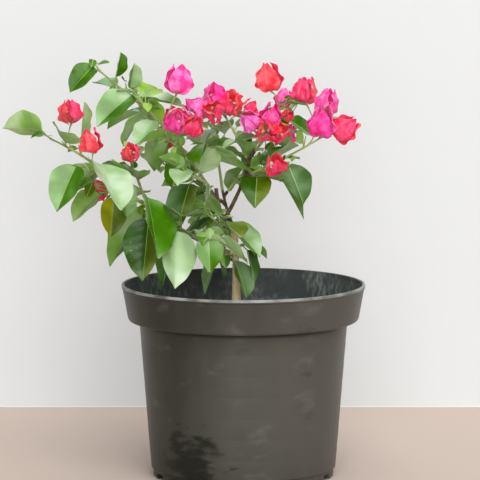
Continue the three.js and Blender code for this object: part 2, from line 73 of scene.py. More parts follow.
# What the values of a random pattern are centred on
PATTERN_MIDDLE = 0.5

Colour = tuple[float, float, float]
Point = tuple[float, float, float]
Range = tuple[float, float]
Array = np.ndarray


# Shader maths


class Field:
    """A shader value that Python expressions can work with."""

    def __init__(self, shader: Shader, socket: bpy.types.NodeSocket) -> None:
        """Wrap one output socket of a shader."""
        self.shader = shader
        self.socket = socket

    def _maths(self, operation: str, first: Field | float, second: Field | float) -> Field:
        """Add one Math node and give its result."""
        return self.shader.node("ShaderNodeMath", {"operation": operation}, {0: first, 1: second})

    def __add__(self, other: Field | float) -> Field:
        """Add."""
        return self._maths("ADD", self, other)

    def __radd__(self, other: float) -> Field:
        """Add to a plain number."""
        return self._maths("ADD", other, self)

    def __sub__(self, other: Field | float) -> Field:
        """Subtract."""
        return self._maths("SUBTRACT", self, other)

    def __rsub__(self, other: float) -> Field:
        """Subtract from a plain number."""
        return self._maths("SUBTRACT", other, self)

    def __mul__(self, other: Field | float) -> Field:
        """Multiply."""
        return self._maths("MULTIPLY", self, other)

    def __rmul__(self, other: float) -> Field:
        """Multiply a plain number."""
        return self._maths("MULTIPLY", other, self)

    def clipped(self) -> Field:
        """Keep the value between 0 and 1."""
        return self._maths("MINIMUM", self._maths("MAXIMUM", self, 0.0), 1.0)


@dataclass(frozen=True)
class Pattern:
    """A soft random pattern: its patches' size, its finer layers and how far it is squeezed in height.

    Its values lie about 0.5, mostly from 0.2 to 0.8. Where it has ends, those become 0 and 1.
    """

    size_mm: float
    detail: float = 3.0
    squeezed: float = 1.0
    ends: Range | None = None


def metres(lengths: tuple[float, ...]) -> tuple[float, ...]:
    """Turn millimetres into metres."""
    return tuple(length * MM for length in lengths)


class Shader:
    """A material under construction, with its Principled shader."""

    def __init__(self, name: str) -> None:
        """Start an empty material.

        Args:
            name: The material's name.
        """
        self.material = bpy.data.materials.new(name)
        self.material.use_nodes = True
        self.tree = self.material.node_tree
        self.tree.nodes.clear()
        self.surface = self.tree.nodes.new("ShaderNodeBsdfPrincipled")
        output = self.tree.nodes.new("ShaderNodeOutputMaterial")
        self.tree.links.new(self.surface.outputs["BSDF"], output.inputs["Surface"])

    def node(
        self,
        kind: str,
        settings: dict[str, object],
        values: dict[str | int, object],
        output: str | int = 0,
    ) -> Field:
        """Add one node.

        Args:
            kind: The node's type.
            settings: The node's own settings, set first.
            values: What goes into its sockets, by name, identifier or number.
            output: The output wanted, by identifier or number.

        Returns:
            That output.
        """
        made = self.tree.nodes.new(kind)
        for key, value in settings.items():
            setattr(made, key, value)
        for key, value in values.items():
            self._feed(self._find(made.inputs, key), value)
        return Field(self, self._find(made.outputs, output))

    @staticmethod
    def _find(sockets: bpy.types.bpy_prop_collection, key: str | int) -> bpy.types.NodeSocket:
        """Find a socket by number, identifier or name.

        Args:
            sockets: The node's inputs or outputs.
            key: What to look for.

        Returns:
            The socket.
        """
        if isinstance(key, int):
            return sockets[key]
        return next(socket for socket in sockets if key in (socket.identifier, socket.name))

    def _feed(self, socket: bpy.types.NodeSocket, value: object) -> None:
        """Link a field to a socket, or set its plain value.

        Args:
            socket: The input socket.
            value: A field or a plain value.
        """
        if isinstance(value, Field):
            self.tree.links.new(value.socket, socket)
        elif isinstance(value, tuple) and len(value) == 3 and socket.type == "RGBA":
            socket.default_value = (*value, 1.0)
        else:
            socket.default_value = value

    def set(self, **sockets: object) -> None:
        """Set or link the Principled shader's sockets, with _ for a space in a name."""
        for key, value in sockets.items():
            self._feed(self._find(self.surface.inputs, key.replace("_", " ")), value)

    def place(self, stretch: Point = (1.0, 1.0, 1.0)) -> Field:
        """Give the surface's own place, with each axis scaled."""
        where = self.node("ShaderNodeTexCoord", {}, {}, "Object")
        return self.node("ShaderNodeVectorMath", {"operation": "MULTIPLY"}, {0: where, 1: stretch})

    def near(self, point_mm: Point, reach_mm: Range, jitter: Field) -> Field:
        """Mark the surface near a point, with an uneven edge.

        Args:
            point_mm: The point.
            reach_mm: How far away the mark ends, and where it is full.
            jitter: What is added to the distance, in metres.

        Returns:
            1 near the point, 0 far from it.
        """
        values = {0: self.place(), 1: metres(point_mm)}
        distance = self.node("ShaderNodeVectorMath", {"operation": "DISTANCE"}, values, "Value")
        return self.between(metres(reach_mm), distance + jitter)

    def pattern(self, wanted: Pattern) -> Field:
        """Give a soft random pattern.

        Args:
            wanted: The pattern.

        Returns:
            Its values.
        """
        where = self.place((1.0, 1.0, wanted.squeezed))
        values = {"Vector": where, "Scale": 1 / (wanted.size_mm * MM), "Detail": wanted.detail}
        soft = self.node("ShaderNodeTexNoise", {}, values)
        return self.between(wanted.ends, soft) if wanted.ends else soft

    def ridge(self, size_mm: float) -> Field:
        """Give the distance from a net of soft, winding lines: 0 on a line, up to about 0.3 off it."""
        level = self.pattern(Pattern(size_mm, 1.0)) - PATTERN_MIDDLE
        return self.node("ShaderNodeMath", {"operation": "ABSOLUTE"}, {0: level})

    def between(self, ends: Range, value: Field) -> Field:
        """Turn a range of a value into 0 to 1, softly: its first end becomes 0 and its second 1."""
        values = {"Value": value, "From Min": ends[0], "From Max": ends[1]}
        return self.node("ShaderNodeMapRange", {"interpolation_type": "SMOOTHSTEP"}, values)

    def blend(self, first: Field | Colour, second: Field | Colour, share: Field) -> Field:
        """Mix two colours, with the second one's share."""
        values = {"Factor_Float": share, "A_Color": first, "B_Color": second}
        return self.node("ShaderNodeMix", {"data_type": "RGBA"}, values, "Result_Color")

    def relief(self, height: Field, depth_mm: float, strength: float = 1.0) -> None:
        """Give the surface a fine relief from a height that runs from 0 to 1."""
        values = {"Strength": strength, "Distance": depth_mm * MM, "Height": height}
        self.set(Normal=self.node("ShaderNodeBump", {}, values))


# Finishes


def shaded(colour: Colour, factor: float) -> Colour:
    """Make a colour lighter or darker by a factor."""
    return tuple(min(1.0, part * factor) for part in colour)


@dataclass(frozen=True)
class Finish:
    """The finish of a surface. Each kind dresses the shader in its own way."""

    name: str

    def dress(self, shader: Shader) -> None:
        """Set the shader's sockets."""
        raise NotImplementedError

    @cache
    def material(self) -> bpy.types.Material:
        """Give the material, made when first asked for.

        Returns:
            The material.
        """
        shader = Shader(self.name)
        self.dress(shader)
        return shader.material


@dataclass(frozen=True)
class LeafFinish(Finish):
    """A leaf's skin: a green with darker patches, and paler, greyer patches that are a painted sheen."""

    colour: Colour
    roughness: float = 0.28
    # Painted sheen: the pale grey-green laid over the paler patches, and its share
    painted_sheen: Colour = (0.5, 0.62, 0.4)
    painted_sheen_share: float = 0.5
    darker: float = 0.7
    mottle: Pattern = Pattern(40.0, 2.0)
    dark_ends: Range = (0.52, 0.34)
    painted_sheen_ends: Range = (0.44, 0.7)
    unevenness: float = 0.1
    grain: Pattern = Pattern(1.1)

    def dress(self, shader: Shader) -> None:
        """Set the shader's sockets.

        Args:
            shader: The shader.
        """
        patches = shader.pattern(self.mottle)
        shade = shader.between(self.dark_ends, patches)
        dark = shader.blend(self.colour, shaded(self.colour, self.darker), shade)
        # Painted sheen over the paler patches
        painted_sheen_share = self.painted_sheen_share * shader.between(self.painted_sheen_ends, patches)
        shader.set(
            Base_Color=shader.blend(dark, self.painted_sheen, painted_sheen_share),
            Roughness=self.roughness + self.unevenness * (patches - PATTERN_MIDDLE),
            Specular_IOR_Level=0.2,
            Subsurface_Weight=0.15,
            Subsurface_Radius=(0.6, 1.0, 0.1),
            Subsurface_Scale=MM,
        )
        shader.relief(shader.pattern(self.grain), depth_mm=0.12, strength=0.5)


@dataclass(frozen=True)
class BractFinish(Finish):
    """A papery bract: a saturated colour with fine creases, darker veins and a soft sheen."""

    colour: Colour
    creased: Colour
    roughness: float = 0.62
    unevenness: float = 0.1
    flush: Pattern = Pattern(7.0, ends=(0.38, 0.66))
    creases: Pattern = Pattern(1.2, 4.0)
    vein_net_mm: float = 3.2
    vein_ends: Range = (0.0, 0.05)
    vein_shade: float = 0.8
    vein_share: float = 0.55

    def dress(self, shader: Shader) -> None:
        """Set the shader's sockets.

        Args:
            shader: The shader.
        """
        patches = shader.pattern(self.flush)
        veins = 1 - shader.between(self.vein_ends, shader.ridge(self.vein_net_mm))
        flushed = shader.blend(self.colour, self.creased, patches)
        shader.set(
            Base_Color=shader.blend(flushed, shaded(self.creased, self.vein_shade), self.vein_share * veins),
            Roughness=self.roughness + self.unevenness * (patches - PATTERN_MIDDLE),
            Specular_IOR_Level=0.3,
            Sheen_Weight=0.1,
            Sheen_Roughness=0.4,
            Subsurface_Weight=0.35,
            Subsurface_Radius=(1.5, 0.4, 0.6),
            Subsurface_Scale=MM,
        )
        shader.relief(shader.pattern(self.creases), depth_mm=0.5, strength=0.6)


@dataclass(frozen=True)
class BarkFinish(Finish):
    """Bark in two tones, with fissures that run along the limb."""

    colour: Colour
    fissure: Colour
    grain_mm: float = 1.4
    squeezed: float = 0.22
    roughness: float = 0.78
    depth_mm: float = 0.5
    grain_detail: float = 4.0
    fissure_ends: Range = (0.42, 0.6)
    fissure_roughness: float = 0.1
    patches: Pattern = Pattern(11.0, ends=(0.5, 0.75))
    patch_shade: float = 1.25
    patch_share: float = 0.5

    def dress(self, shader: Shader) -> None:
        """Set the shader's sockets.

        Args:
            shader: The shader.
        """
        grain = shader.pattern(Pattern(self.grain_mm, self.grain_detail, self.squeezed))
        ridges = shader.between(self.fissure_ends, grain)
        worn = shader.blend(self.fissure, self.colour, ridges)
        patches = self.patch_share * shader.pattern(self.patches)
        shader.set(
            Base_Color=shader.blend(worn, shaded(self.colour, self.patch_shade), patches),
            Roughness=self.roughness - self.fissure_roughness * ridges,
            Specular_IOR_Level=0.3,
        )
        shader.relief(grain, self.depth_mm)


@dataclass(frozen=True)
class PlasticFinish(Finish):
    """Dark moulded plastic: painted lighter on its front right side as painted light, scuffed and stained,
    with a painted shadow band under the collar and a smudge.
    """

    name: str = "pot_plastic_finish"
    colour: Colour = (0.02, 0.021, 0.014)
    # Painted light: a lighter colour painted on the front right side, around a point, where the light falls
    painted_lit_colour: Colour = (0.079, 0.076, 0.063)
    dust: Colour = (0.17, 0.17, 0.155)
    # Used for the stains, the smudge and the painted shadow under the collar
    stain_and_painted_shadow: Colour = (0.005, 0.006, 0.004)
    roughness: float = 0.42
    bands: Pattern = Pattern(40.0, 2.0, 0.35, (0.35, 0.7))
    painted_light_mm: Point = (110.0, -60.0, 100.0)
    painted_light_reach_mm: Range = (240.0, 60.0)
    painted_light_jitter_m: float = 0.03
    scuffs: Pattern = Pattern(30.0, 5.0, 1.6, (0.56, 0.76))
    scuff_share: float = 0.28
    scuff_roughness: float = 0.14
    stains: Pattern = Pattern(30.0, 5.0, 1.8, (0.62, 0.76))
    stain_share: float = 0.3
    # Painted shadow: a dark band on the body just under the collar's overhang
    painted_shadow_from_mm: Range = (150.0, 155.0)
    painted_shadow_to_mm: Range = (155.8, 155.2)
    painted_shadow_share: float = 0.95
    streaks: Pattern = Pattern(20.0, 5.0, 2.6)
    smudge_mm: Point = (-56.0, -78.0, 18.0)
    smudge_reach_mm: Range = (42.0, 16.0)
    smudge_jitter_m: float = 0.11
    smudge_share: float = 0.92
    smudge_shine: float = 0.12
    pores: Pattern = Pattern(0.9, 2.0)

    def dress(self, shader: Shader) -> None:
        """Set the shader's sockets.

        Args:
            shader: The shader.
        """
        scuffs = shader.pattern(self.scuffs)
        bands = self.painted_light_jitter_m * (shader.pattern(self.bands) - PATTERN_MIDDLE)
        streaks = self.smudge_jitter_m * (shader.pattern(self.streaks) - PATTERN_MIDDLE)
        smudge = shader.near(self.smudge_mm, self.smudge_reach_mm, streaks)
        height = shader.node("ShaderNodeSeparateXYZ", {}, {0: shader.place()}, "Z")
        # Painted shadow: the band between these heights, just under the collar
        below = shader.between(metres(self.painted_shadow_from_mm), height)
        painted_shadow = below * shader.between(metres(self.painted_shadow_to_mm), height)
        # Painted light: lighter towards the front right side, with an uneven edge
        painted_light_share = shader.near(self.painted_light_mm, self.painted_light_reach_mm, bands)
        with_painted_light = shader.blend(self.colour, self.painted_lit_colour, painted_light_share)
        scuffed = shader.blend(with_painted_light, self.dust, self.scuff_share * scuffs)
        # Random stains, plus the painted shadow under the collar
        stains_and_painted_shadow = self.stain_share * shader.pattern(self.stains) + self.painted_shadow_share * painted_shadow
        stained_with_painted_shadow = shader.blend(scuffed, self.stain_and_painted_shadow, stains_and_painted_shadow.clipped())
        rough = self.roughness + self.scuff_roughness * scuffs - self.smudge_shine * smudge
        shader.set(
            Base_Color=shader.blend(stained_with_painted_shadow, self.stain_and_painted_shadow, self.smudge_share * smudge),
            Roughness=rough.clipped(),
            Specular_IOR_Level=0.3,
        )
        shader.relief(shader.pattern(self.pores), depth_mm=0.12, strength=0.5)


@dataclass(frozen=True)
class LipFinish(Finish):
    """The rim's lip, painted pale along its top as a painted highlight, in uneven patches."""

    name: str = "pot_lip_finish"
    # Painted highlight: the pale colour along the lip's top; the darker one shows between its patches
    colour: Colour = (0.3, 0.31, 0.29)
    dark: Colour = (0.1, 0.1, 0.09)
    painted_highlight_patches: Pattern = Pattern(22.0, 5.0, ends=(0.36, 0.6))
    roughness: float = 0.42
    highlight_patch_roughness: float = 0.12
    pores: Pattern = Pattern(1.0)

    def dress(self, shader: Shader) -> None:
        """Set the shader's sockets.

        Args:
            shader: The shader.
        """
        # Painted highlight in uneven patches
        painted_highlight_patches = shader.pattern(self.painted_highlight_patches)
        shader.set(
            Base_Color=shader.blend(self.dark, self.colour, painted_highlight_patches),
            Roughness=self.roughness + self.highlight_patch_roughness * painted_highlight_patches,
        )
        shader.relief(shader.pattern(self.pores), depth_mm=0.12, strength=0.5)


@dataclass(frozen=True)
class LimedFinish(Finish):
    """The pot's inside wall: dark, with pale mineral streaks left by watering."""

    name: str = "pot_inside_finish"
    colour: Colour = (0.04, 0.048, 0.046)
    lime: Colour = (0.2, 0.22, 0.21)
    runs: Pattern = Pattern(4.0, 6.0, 0.5, (0.36, 0.74))
    patches: Pattern = Pattern(30.0, ends=(0.36, 0.6))
    lime_share: float = 0.8
    roughness: float = 0.55
    lime_roughness: float = 0.25

    def dress(self, shader: Shader) -> None:
        """Set the shader's sockets.

        Args:
            shader: The shader.
        """
        runs = shader.pattern(self.runs)
        share = self.lime_share * (runs * shader.pattern(self.patches))
        shader.set(
            Base_Color=shader.blend(self.colour, self.lime, share),
            Roughness=self.roughness + self.lime_roughness * runs,
        )
        shader.relief(runs, depth_mm=0.15, strength=0.5)


@dataclass(frozen=True)
class CompostFinish(Finish):
    """Moist compost with bark crumbs in several browns."""

    colour: Colour = (0.035, 0.023, 0.014)
    pale: Colour = (0.12, 0.075, 0.042)
    crumbs: Pattern = Pattern(4.0, 5.0)
    pale_ends: Range = (0.45, 0.75)
    roughness: float = 0.95
    unevenness: float = 0.1

    def dress(self, shader: Shader) -> None:
        """Set the shader's sockets.

        Args:
            shader: The shader.
        """
        crumbs = shader.pattern(self.crumbs)
        shader.set(
            Base_Color=shader.blend(self.colour, self.pale, shader.between(self.pale_ends, crumbs)),
            Roughness=self.roughness - self.unevenness * crumbs,
        )
        shader.relief(crumbs, depth_mm=1.5)


@dataclass(frozen=True)
class StageFinish(Finish):
    """A plain studio surface with the faintest unevenness, which may be clear from behind."""

    colour: Colour
    one_sided: bool = False
    roughness: float = 0.85
    patches: Pattern = Pattern(260.0)
    patch_shade: float = 0.985

    def dress(self, shader: Shader) -> None:
        """Set the shader's sockets.

        Args:
            shader: The shader.
        """
        tinted = shaded(self.colour, self.patch_shade)
        shader.set(
            Base_Color=shader.blend(tinted, self.colour, shader.pattern(self.patches)),
            Roughness=self.roughness,
            Specular_IOR_Level=0.2,
        )
        if self.one_sided:
            shader.set(Alpha=1 - shader.node("ShaderNodeNewGeometry", {}, {}, "Backfacing"))


class Green(Enum):
    """The greens of the leaves, dealt out leaf by leaf."""

    # The colour given after a green's roughness is its painted sheen colour, and the number after that is
    # its share
    DEEP = LeafFinish("leaf_deep_green", (0.028, 0.095, 0.0005), painted_sheen=(0.26, 0.38, 0.2))
    MIDDLE = LeafFinish("leaf_middle_green", (0.055, 0.18, 0.0005), painted_sheen=(0.36, 0.5, 0.24))
    FRESH = LeafFinish("leaf_fresh_green", (0.29, 0.52, 0.035), 0.34)
    GREYED = LeafFinish("leaf_greyed_green", (0.28, 0.45, 0.19), 0.28, (0.6, 0.71, 0.54), 0.7, 0.7)
    SHEEN = LeafFinish("leaf_sheen_green", (0.21, 0.38, 0.12), 0.28, (0.6, 0.7, 0.53), 0.7)
    OLIVE = LeafFinish("leaf_olive_green", (0.09, 0.15, 0.001), 0.34, (0.36, 0.44, 0.16))
    YELLOW = LeafFinish("leaf_turning_yellow", (0.34, 0.36, 0.01), 0.36, (0.74, 0.66, 0.03), 0.8, 0.75)
    UNDERSIDE = LeafFinish("leaf_underside", (0.24, 0.44, 0.09), 0.38, (0.6, 0.72, 0.48), 0.6)
    MIDRIB = LeafFinish("leaf_midrib", (0.3, 0.46, 0.14), 0.5)
    SHOOT = LeafFinish("green_shoot", (0.34, 0.42, 0.13), 0.55, (0.5, 0.5, 0.26))


class Petal(Enum):
    """The colours of the bracts and of the small flowers within them."""

    ROSE = BractFinish("bract_rose_red", (0.98, 0.09, 0.22), (0.9, 0.015, 0.09))
    CORAL = BractFinish("bract_coral_red", (0.98, 0.13, 0.15), (0.9, 0.025, 0.05))
    MAGENTA = BractFinish("bract_magenta", (0.97, 0.09, 0.42), (0.88, 0.012, 0.22))
    PINK = BractFinish("bract_pink", (0.98, 0.2, 0.52), (0.92, 0.04, 0.3))
    PALE = BractFinish("bract_violet_pink", (0.93, 0.24, 0.62), (0.88, 0.08, 0.42))
    TUBE = BractFinish("flower_tube", (0.6, 0.2, 0.1), (0.6, 0.1, 0.12))
    STAR = BractFinish("flower_star", (0.75, 0.55, 0.35), (0.7, 0.4, 0.25))
    STALK = BractFinish("flower_stalk", (0.3, 0.38, 0.1), (0.3, 0.26, 0.1))


class Bark(Enum):
    """The barks of the limbs, young and old, and fresh cut wood."""

    PALE = BarkFinish("pale_bark_finish", (1.0, 0.8, 0.49), (0.88, 0.62, 0.36))
    DARK = BarkFinish("dark_bark_finish", (0.13, 0.085, 0.05), (0.045, 0.028, 0.016))
    GREEN = BarkFinish("green_bark_finish", (0.44, 0.48, 0.22), (0.3, 0.29, 0.12), 1.1, 0.3, 0.6, 0.25)
    CUT = BarkFinish("cut_wood_finish", (0.5, 0.42, 0.32), (0.3, 0.23, 0.16), 0.8, 1.0, 0.85, 0.3)


# Meshes


def unit(vector: Array) -> Array:
    """Give a vector the length 1."""
    return vector / np.linalg.norm(vector)


def circle(count: int) -> Array:
    """Give evenly spread points on a circle of radius 1, row by row."""
    turn = np.arange(count) * 2 * math.pi / count
    return np.stack([np.cos(turn), np.sin(turn)], -1)


def grid_faces(rows: int, columns: int, wrapped: bool = False) -> Array:
    """Number the faces of a grid of points.

    Args:
        rows: Rows of points.
        columns: Points in each row.
        wrapped: Whether the last column joins the first.

    Returns:
        Four point numbers for each face, row by row.
    """
    row, column = np.mgrid[0 : rows - 1, 0 : columns if wrapped else columns - 1]
    right = (column + 1) % columns
    here, above = row * columns, (row + 1) * columns
    corners = [here + column, here + right, above + right, above + column]
    return np.stack(corners, -1).reshape(-1, 4)


@dataclass
class Draft:
    """The points and faces of one joined piece, in millimetres."""

    points: list[Array] = field(default_factory=list)
    faces: list[list[int]] = field(default_factory=list)
    finishes: list[int] = field(default_factory=list)
    count: int = 0

    def add(self, points: Array, faces: Array | list[list[int]], finish: int | Array) -> None:
        """Add a shape.

        Args:
            points: Its points.
            faces: Its faces, numbered from its own first point.
            finish: The finish of all its faces, or of each.
        """
        self.points.append(np.asarray(points, float).reshape(-1, 3))
        listed = faces.tolist() if isinstance(faces, Array) else faces
        self.faces += [[self.count + number for number in face] for face in listed]
        self.finishes += np.broadcast_to(finish, len(faces)).tolist()
        self.count += len(self.points[-1])

    def fan(self, ring: Array, point: Array, finish: int, flipped: bool = False) -> None:
        """Close a ring of points with triangles that meet in one point.

        Args:
            ring: The ring.
            point: The point.
            finish: The finish of the triangles.
            flipped: Whether they look back along the piece.
        """
        count = len(ring)
        triangles = [[i, (i + 1) % count, count] for i in range(count)]
        if flipped:
            triangles = [triangle[::-1] for triangle in triangles]
        self.add(np.vstack([ring, point]), triangles, finish)

    def tube(
        self, centres: Array, across: Array, radii: Array, finish: int, cap: int | None = None
    ) -> None:
        """Add a closed tube.

        Args:
            centres: Its centre line, one point a ring.
            across: For each ring, its two directions across.
            radii: The radius of each point of each ring.
            finish: The finish of its side.
            cap: The finish of its ends, if not the same.
        """
        around = circle(radii.shape[1])
        outwards = around[:, :1] * across[:, None, 0] + around[:, 1:] * across[:, None, 1]
        rings = centres[:, None] + outwards * radii[..., None]
        self.add(rings, grid_faces(*radii.shape, wrapped=True), finish)
        ends = finish if cap is None else cap
        self.fan(rings[0], rings[0].mean(0), ends)
        self.fan(rings[-1], rings[-1].mean(0), ends, flipped=True)

    def rod(
        self, curve: BowedCurve, radii: Array, sides: int = 8, finish: int = 0, stretch: Range = (0.0, 1.0)
    ) -> None:
        """Add a plain round tube along a curve, or along the stretch between two shares of it."""
        centres, across = curve.frames(np.linspace(*stretch, len(radii)))
        self.tube(centres, across, np.repeat(radii[:, None], sides, 1), finish)

    def piece(
        self, name: str, finishes: list[Finish] | tuple[Finish, ...], sharp_deg: float | None = None
    ) -> bpy.types.Object:
        """Make the object.

        Args:
            name: Its name.
            finishes: Its finishes.
            sharp_deg: The angle over which an edge stays sharp, if any does.

        Returns:
            The object.
        """
        mesh = bpy.data.meshes.new(name)
        mesh.from_pydata((np.vstack(self.points) * MM).tolist(), [], self.faces)
        for finish in finishes:
            mesh.materials.append(finish.material())
        mesh.polygons.foreach_set("material_index", self.finishes)
        mesh.polygons.foreach_set("use_smooth", [True] * len(self.faces))
        if sharp_deg is not None:
            mesh.set_sharp_from_angle(angle=math.radians(sharp_deg))
        mesh.update()
        made = bpy.data.objects.new(name, mesh)
        bpy.context.scene.collection.objects.link(made)
        return made


def publish(piece: bpy.types.Object, nodes: list[str]) -> None:
    """Set a piece on the body in place of its CAD nodes, and report it.

    Args:
        piece: The object.
        nodes: The CAD nodes it stands for.
    """
    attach(piece, BODY)
    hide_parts(*nodes)
    triangles = sum(len(face.vertices) - 2 for face in piece.data.polygons)
    log.info("%s: %d triangles, in place of %d nodes", piece.name, triangles, len(nodes))


# The plant's own rule, the same as in the CAD model


class SeededRandom:
    """Numbers that look random but come out the same on every run."""

    MODULUS = 2147483647
    MULTIPLIER = 16807
    SPREAD = 69621
    WARM_UP = 3
    LEAST_STEP = 0.001

    def __init__(self, seed: int) -> None:
        """Start a stream.

        Args:
            seed: Which stream.
        """
        self.state = (seed * self.SPREAD) % self.MODULUS
        for _ in range(self.WARM_UP):
            self.between(0, 1)

    def between(self, low: float, high: float) -> float:
        """Draw a number between two others."""
        self.state = (self.state * self.MULTIPLIER) % self.MODULUS
        return low + (high - low) * self.state / self.MODULUS

    def choice(self, count: int) -> int:
        """Draw a whole number from 0 to just below a count."""
        return int(self.between(0, count - self.LEAST_STEP))


@dataclass(frozen=True)
class BowedCurve:
    """A curve from one point to another that bows away from the straight line."""

    start: Array
    middle: Array
    end: Array
    steep: float = 0.85
    measured: int = 9

    @classmethod
    def bowed(cls, start: Array, end: Array | Point, bow: Array | Point) -> BowedCurve:
        """Make a curve from its ends and from how far it bends away."""
        finish = np.array(end, float)
        return cls(start, (start + finish) / 2 + np.array(bow, float), finish)

    def point(self, along: float) -> Array:
        """Find the point at a share of the way."""
        rest = 1 - along
        return rest * rest * self.start + 2 * rest * along * self.middle + along * along * self.end

    def tangent(self, along: float) -> Array:
        """Find the curve's unit direction at a share of the way."""
        return unit((1 - along) * (self.middle - self.start) + along * (self.end - self.middle))

    def across(self, along: float) -> tuple[Array, Array]:
        """Find the sideways and lifting directions.

        Args:
            along: The share of the way.

        Returns:
            Both unit directions.
        """
        reference = DEPTH if abs(unit(self.end - self.start)[2]) > self.steep else UP
        tangent = self.tangent(along)
        side = unit(np.cross(tangent, reference))
        return side, np.cross(side, tangent)

    def frames(self, shares: Array) -> tuple[Array, Array]:
        """Find the points at some shares of the way, and both directions across at each."""
        points = np.array([self.point(share) for share in shares])
        return points, np.array([self.across(share) for share in shares])

    def length(self) -> float:
        """Measure the curve roughly, in millimetres."""
        points = np.array([self.point(along) for along in np.linspace(0, 1, self.measured)])
        return float(np.linalg.norm(np.diff(points, axis=0), axis=1).sum())


@dataclass(frozen=True)
class LeafPlace:
    """Where one leaf sits and how it hangs."""

    root: Array
    base: Array
    axis: Array
    normal: Array
    length: float


@dataclass(frozen=True)
class LeafRule:
    """How leaves spiral up a stem, reach outwards and droop."""

    spiral: float = math.radians(137.5)
    first: float = 0.12
    spread_jitter: Range = (0.15, 0.85)
    turn_jitter: Range = (-1.0, 1.0)
    length_range: Range = (0.7, 1.1)
    roll_range: Range = (-0.5, 0.5)
    terminal_reach: float = 0.35
    tip_root: float = 0.96
    petiole_share: float = 0.24
    petiole_forward: float = 0.5
    petiole_lift: float = 0.25
    blade_forward: float = 0.45
    face_outwards: float = 0.65
    face_up: float = 0.75

    def places(
        self, curve: BowedCurve, leaves: int, leaf_length: float, droop: Range, seed: int
    ) -> list[LeafPlace]:
        """Lay out the leaves of one stem.

        Args:
            curve: The stem.
            leaves: How many there are.
            leaf_length: Their full length.
            droop: The range of their droop.
            seed: The stem's stream of numbers.

        Returns:
            The places, from the stem's foot to its tip.
        """
        draw = SeededRandom(seed)
        first_turn = draw.between(0, 2 * math.pi)
        places = []
        for i in range(leaves):
            terminal = i == leaves - 1
            spread = self.first + (1 - self.first) * (i + draw.between(*self.spread_jitter)) / leaves
            turn = first_turn + i * self.spiral + draw.between(*self.turn_jitter)
            drooping = draw.between(*droop)
            length = leaf_length * draw.between(*self.length_range)
            roll = draw.between(*self.roll_range)
            along = 1.0 if terminal else spread
            node = curve.point(along)
            tangent = curve.tangent(along)
            side, lift = curve.across(along)
            out = side * math.cos(turn) + lift * math.sin(turn)
            reach = out * (self.terminal_reach if terminal else 1.0)
            petiole = unit(reach + self.petiole_forward * tangent + self.petiole_lift * UP)
            axis = unit(reach + self.blade_forward * tangent - drooping * UP)
            facing = out * self.face_outwards * (1 - UP) + self.face_up * UP
            level = unit(facing - np.dot(facing, axis) * axis)
            normal = level * math.cos(roll) - np.cross(axis, level) * math.sin(roll)
            root = curve.point(self.tip_root) if terminal else node
            base = node + petiole * self.petiole_share * length
            places.append(LeafPlace(root, base, axis, normal, length))
        return places


@dataclass(frozen=True)
class LimbPlan:
    """One woody limb: where it forks off, where it ends, and its girth."""

    name: str
    parent: str | None
    at: float
    to: Point
    bow: Point
    root_radius: float
    tip_radius: float
    bark: Bark
    start: Point = (0.0, 0.0, 0.0)
    flare: float = 0.0


@dataclass(frozen=True)
class BloomPlan:
    """One bloom: where its stalk leaves the stem, its middle, its length and its colour."""

    at: float
    centre: Point
    length: float
    petal: Petal


@dataclass(frozen=True)
class ShootPlan:
    """One leafy shoot: where it forks off, where it ends, its leaves and its blooms."""

    name: str
    parent: str
    at: float
    to: Point
    bow: Point
    leaves: int
    leaf_length: float
    droop: Range
    seed: int
    greens: tuple[Green, ...]
    blooms: tuple[BloomPlan, ...] = ()


SOIL_LEVEL = 148.0
# How far apart two parts that meet stay
GAP = 0.3
LIMBS = (
    LimbPlan(
        "trunk", None, 0, (-8, 0, 252), (0.5, 0, 0), 5.1, 2.2, Bark.PALE, (-7, 0, SOIL_LEVEL + GAP), 3.2
    ),
    LimbPlan("pruned_leader", "trunk", 0.84, (-27, 2, 287), (-8, -2, -3), 2.7, 1.9, Bark.DARK),
    LimbPlan("left_bough", "trunk", 0.7, (-129, -38, 303), (-2, -4, -18), 2.6, 1.5, Bark.GREEN),
    LimbPlan("upper_left_bough", "pruned_leader", 0.72, (-84, 12, 354), (5, 0, 2), 2.0, 1.3, Bark.GREEN),
    LimbPlan("right_bough", "pruned_leader", 0.42, (10, 6, 327), (5, 2, -5), 2.1, 1.4, Bark.DARK),
    LimbPlan("back_bough", "trunk", 0.93, (-21, 62, 278), (0, 8, -12), 2.0, 1.4, Bark.DARK),
)
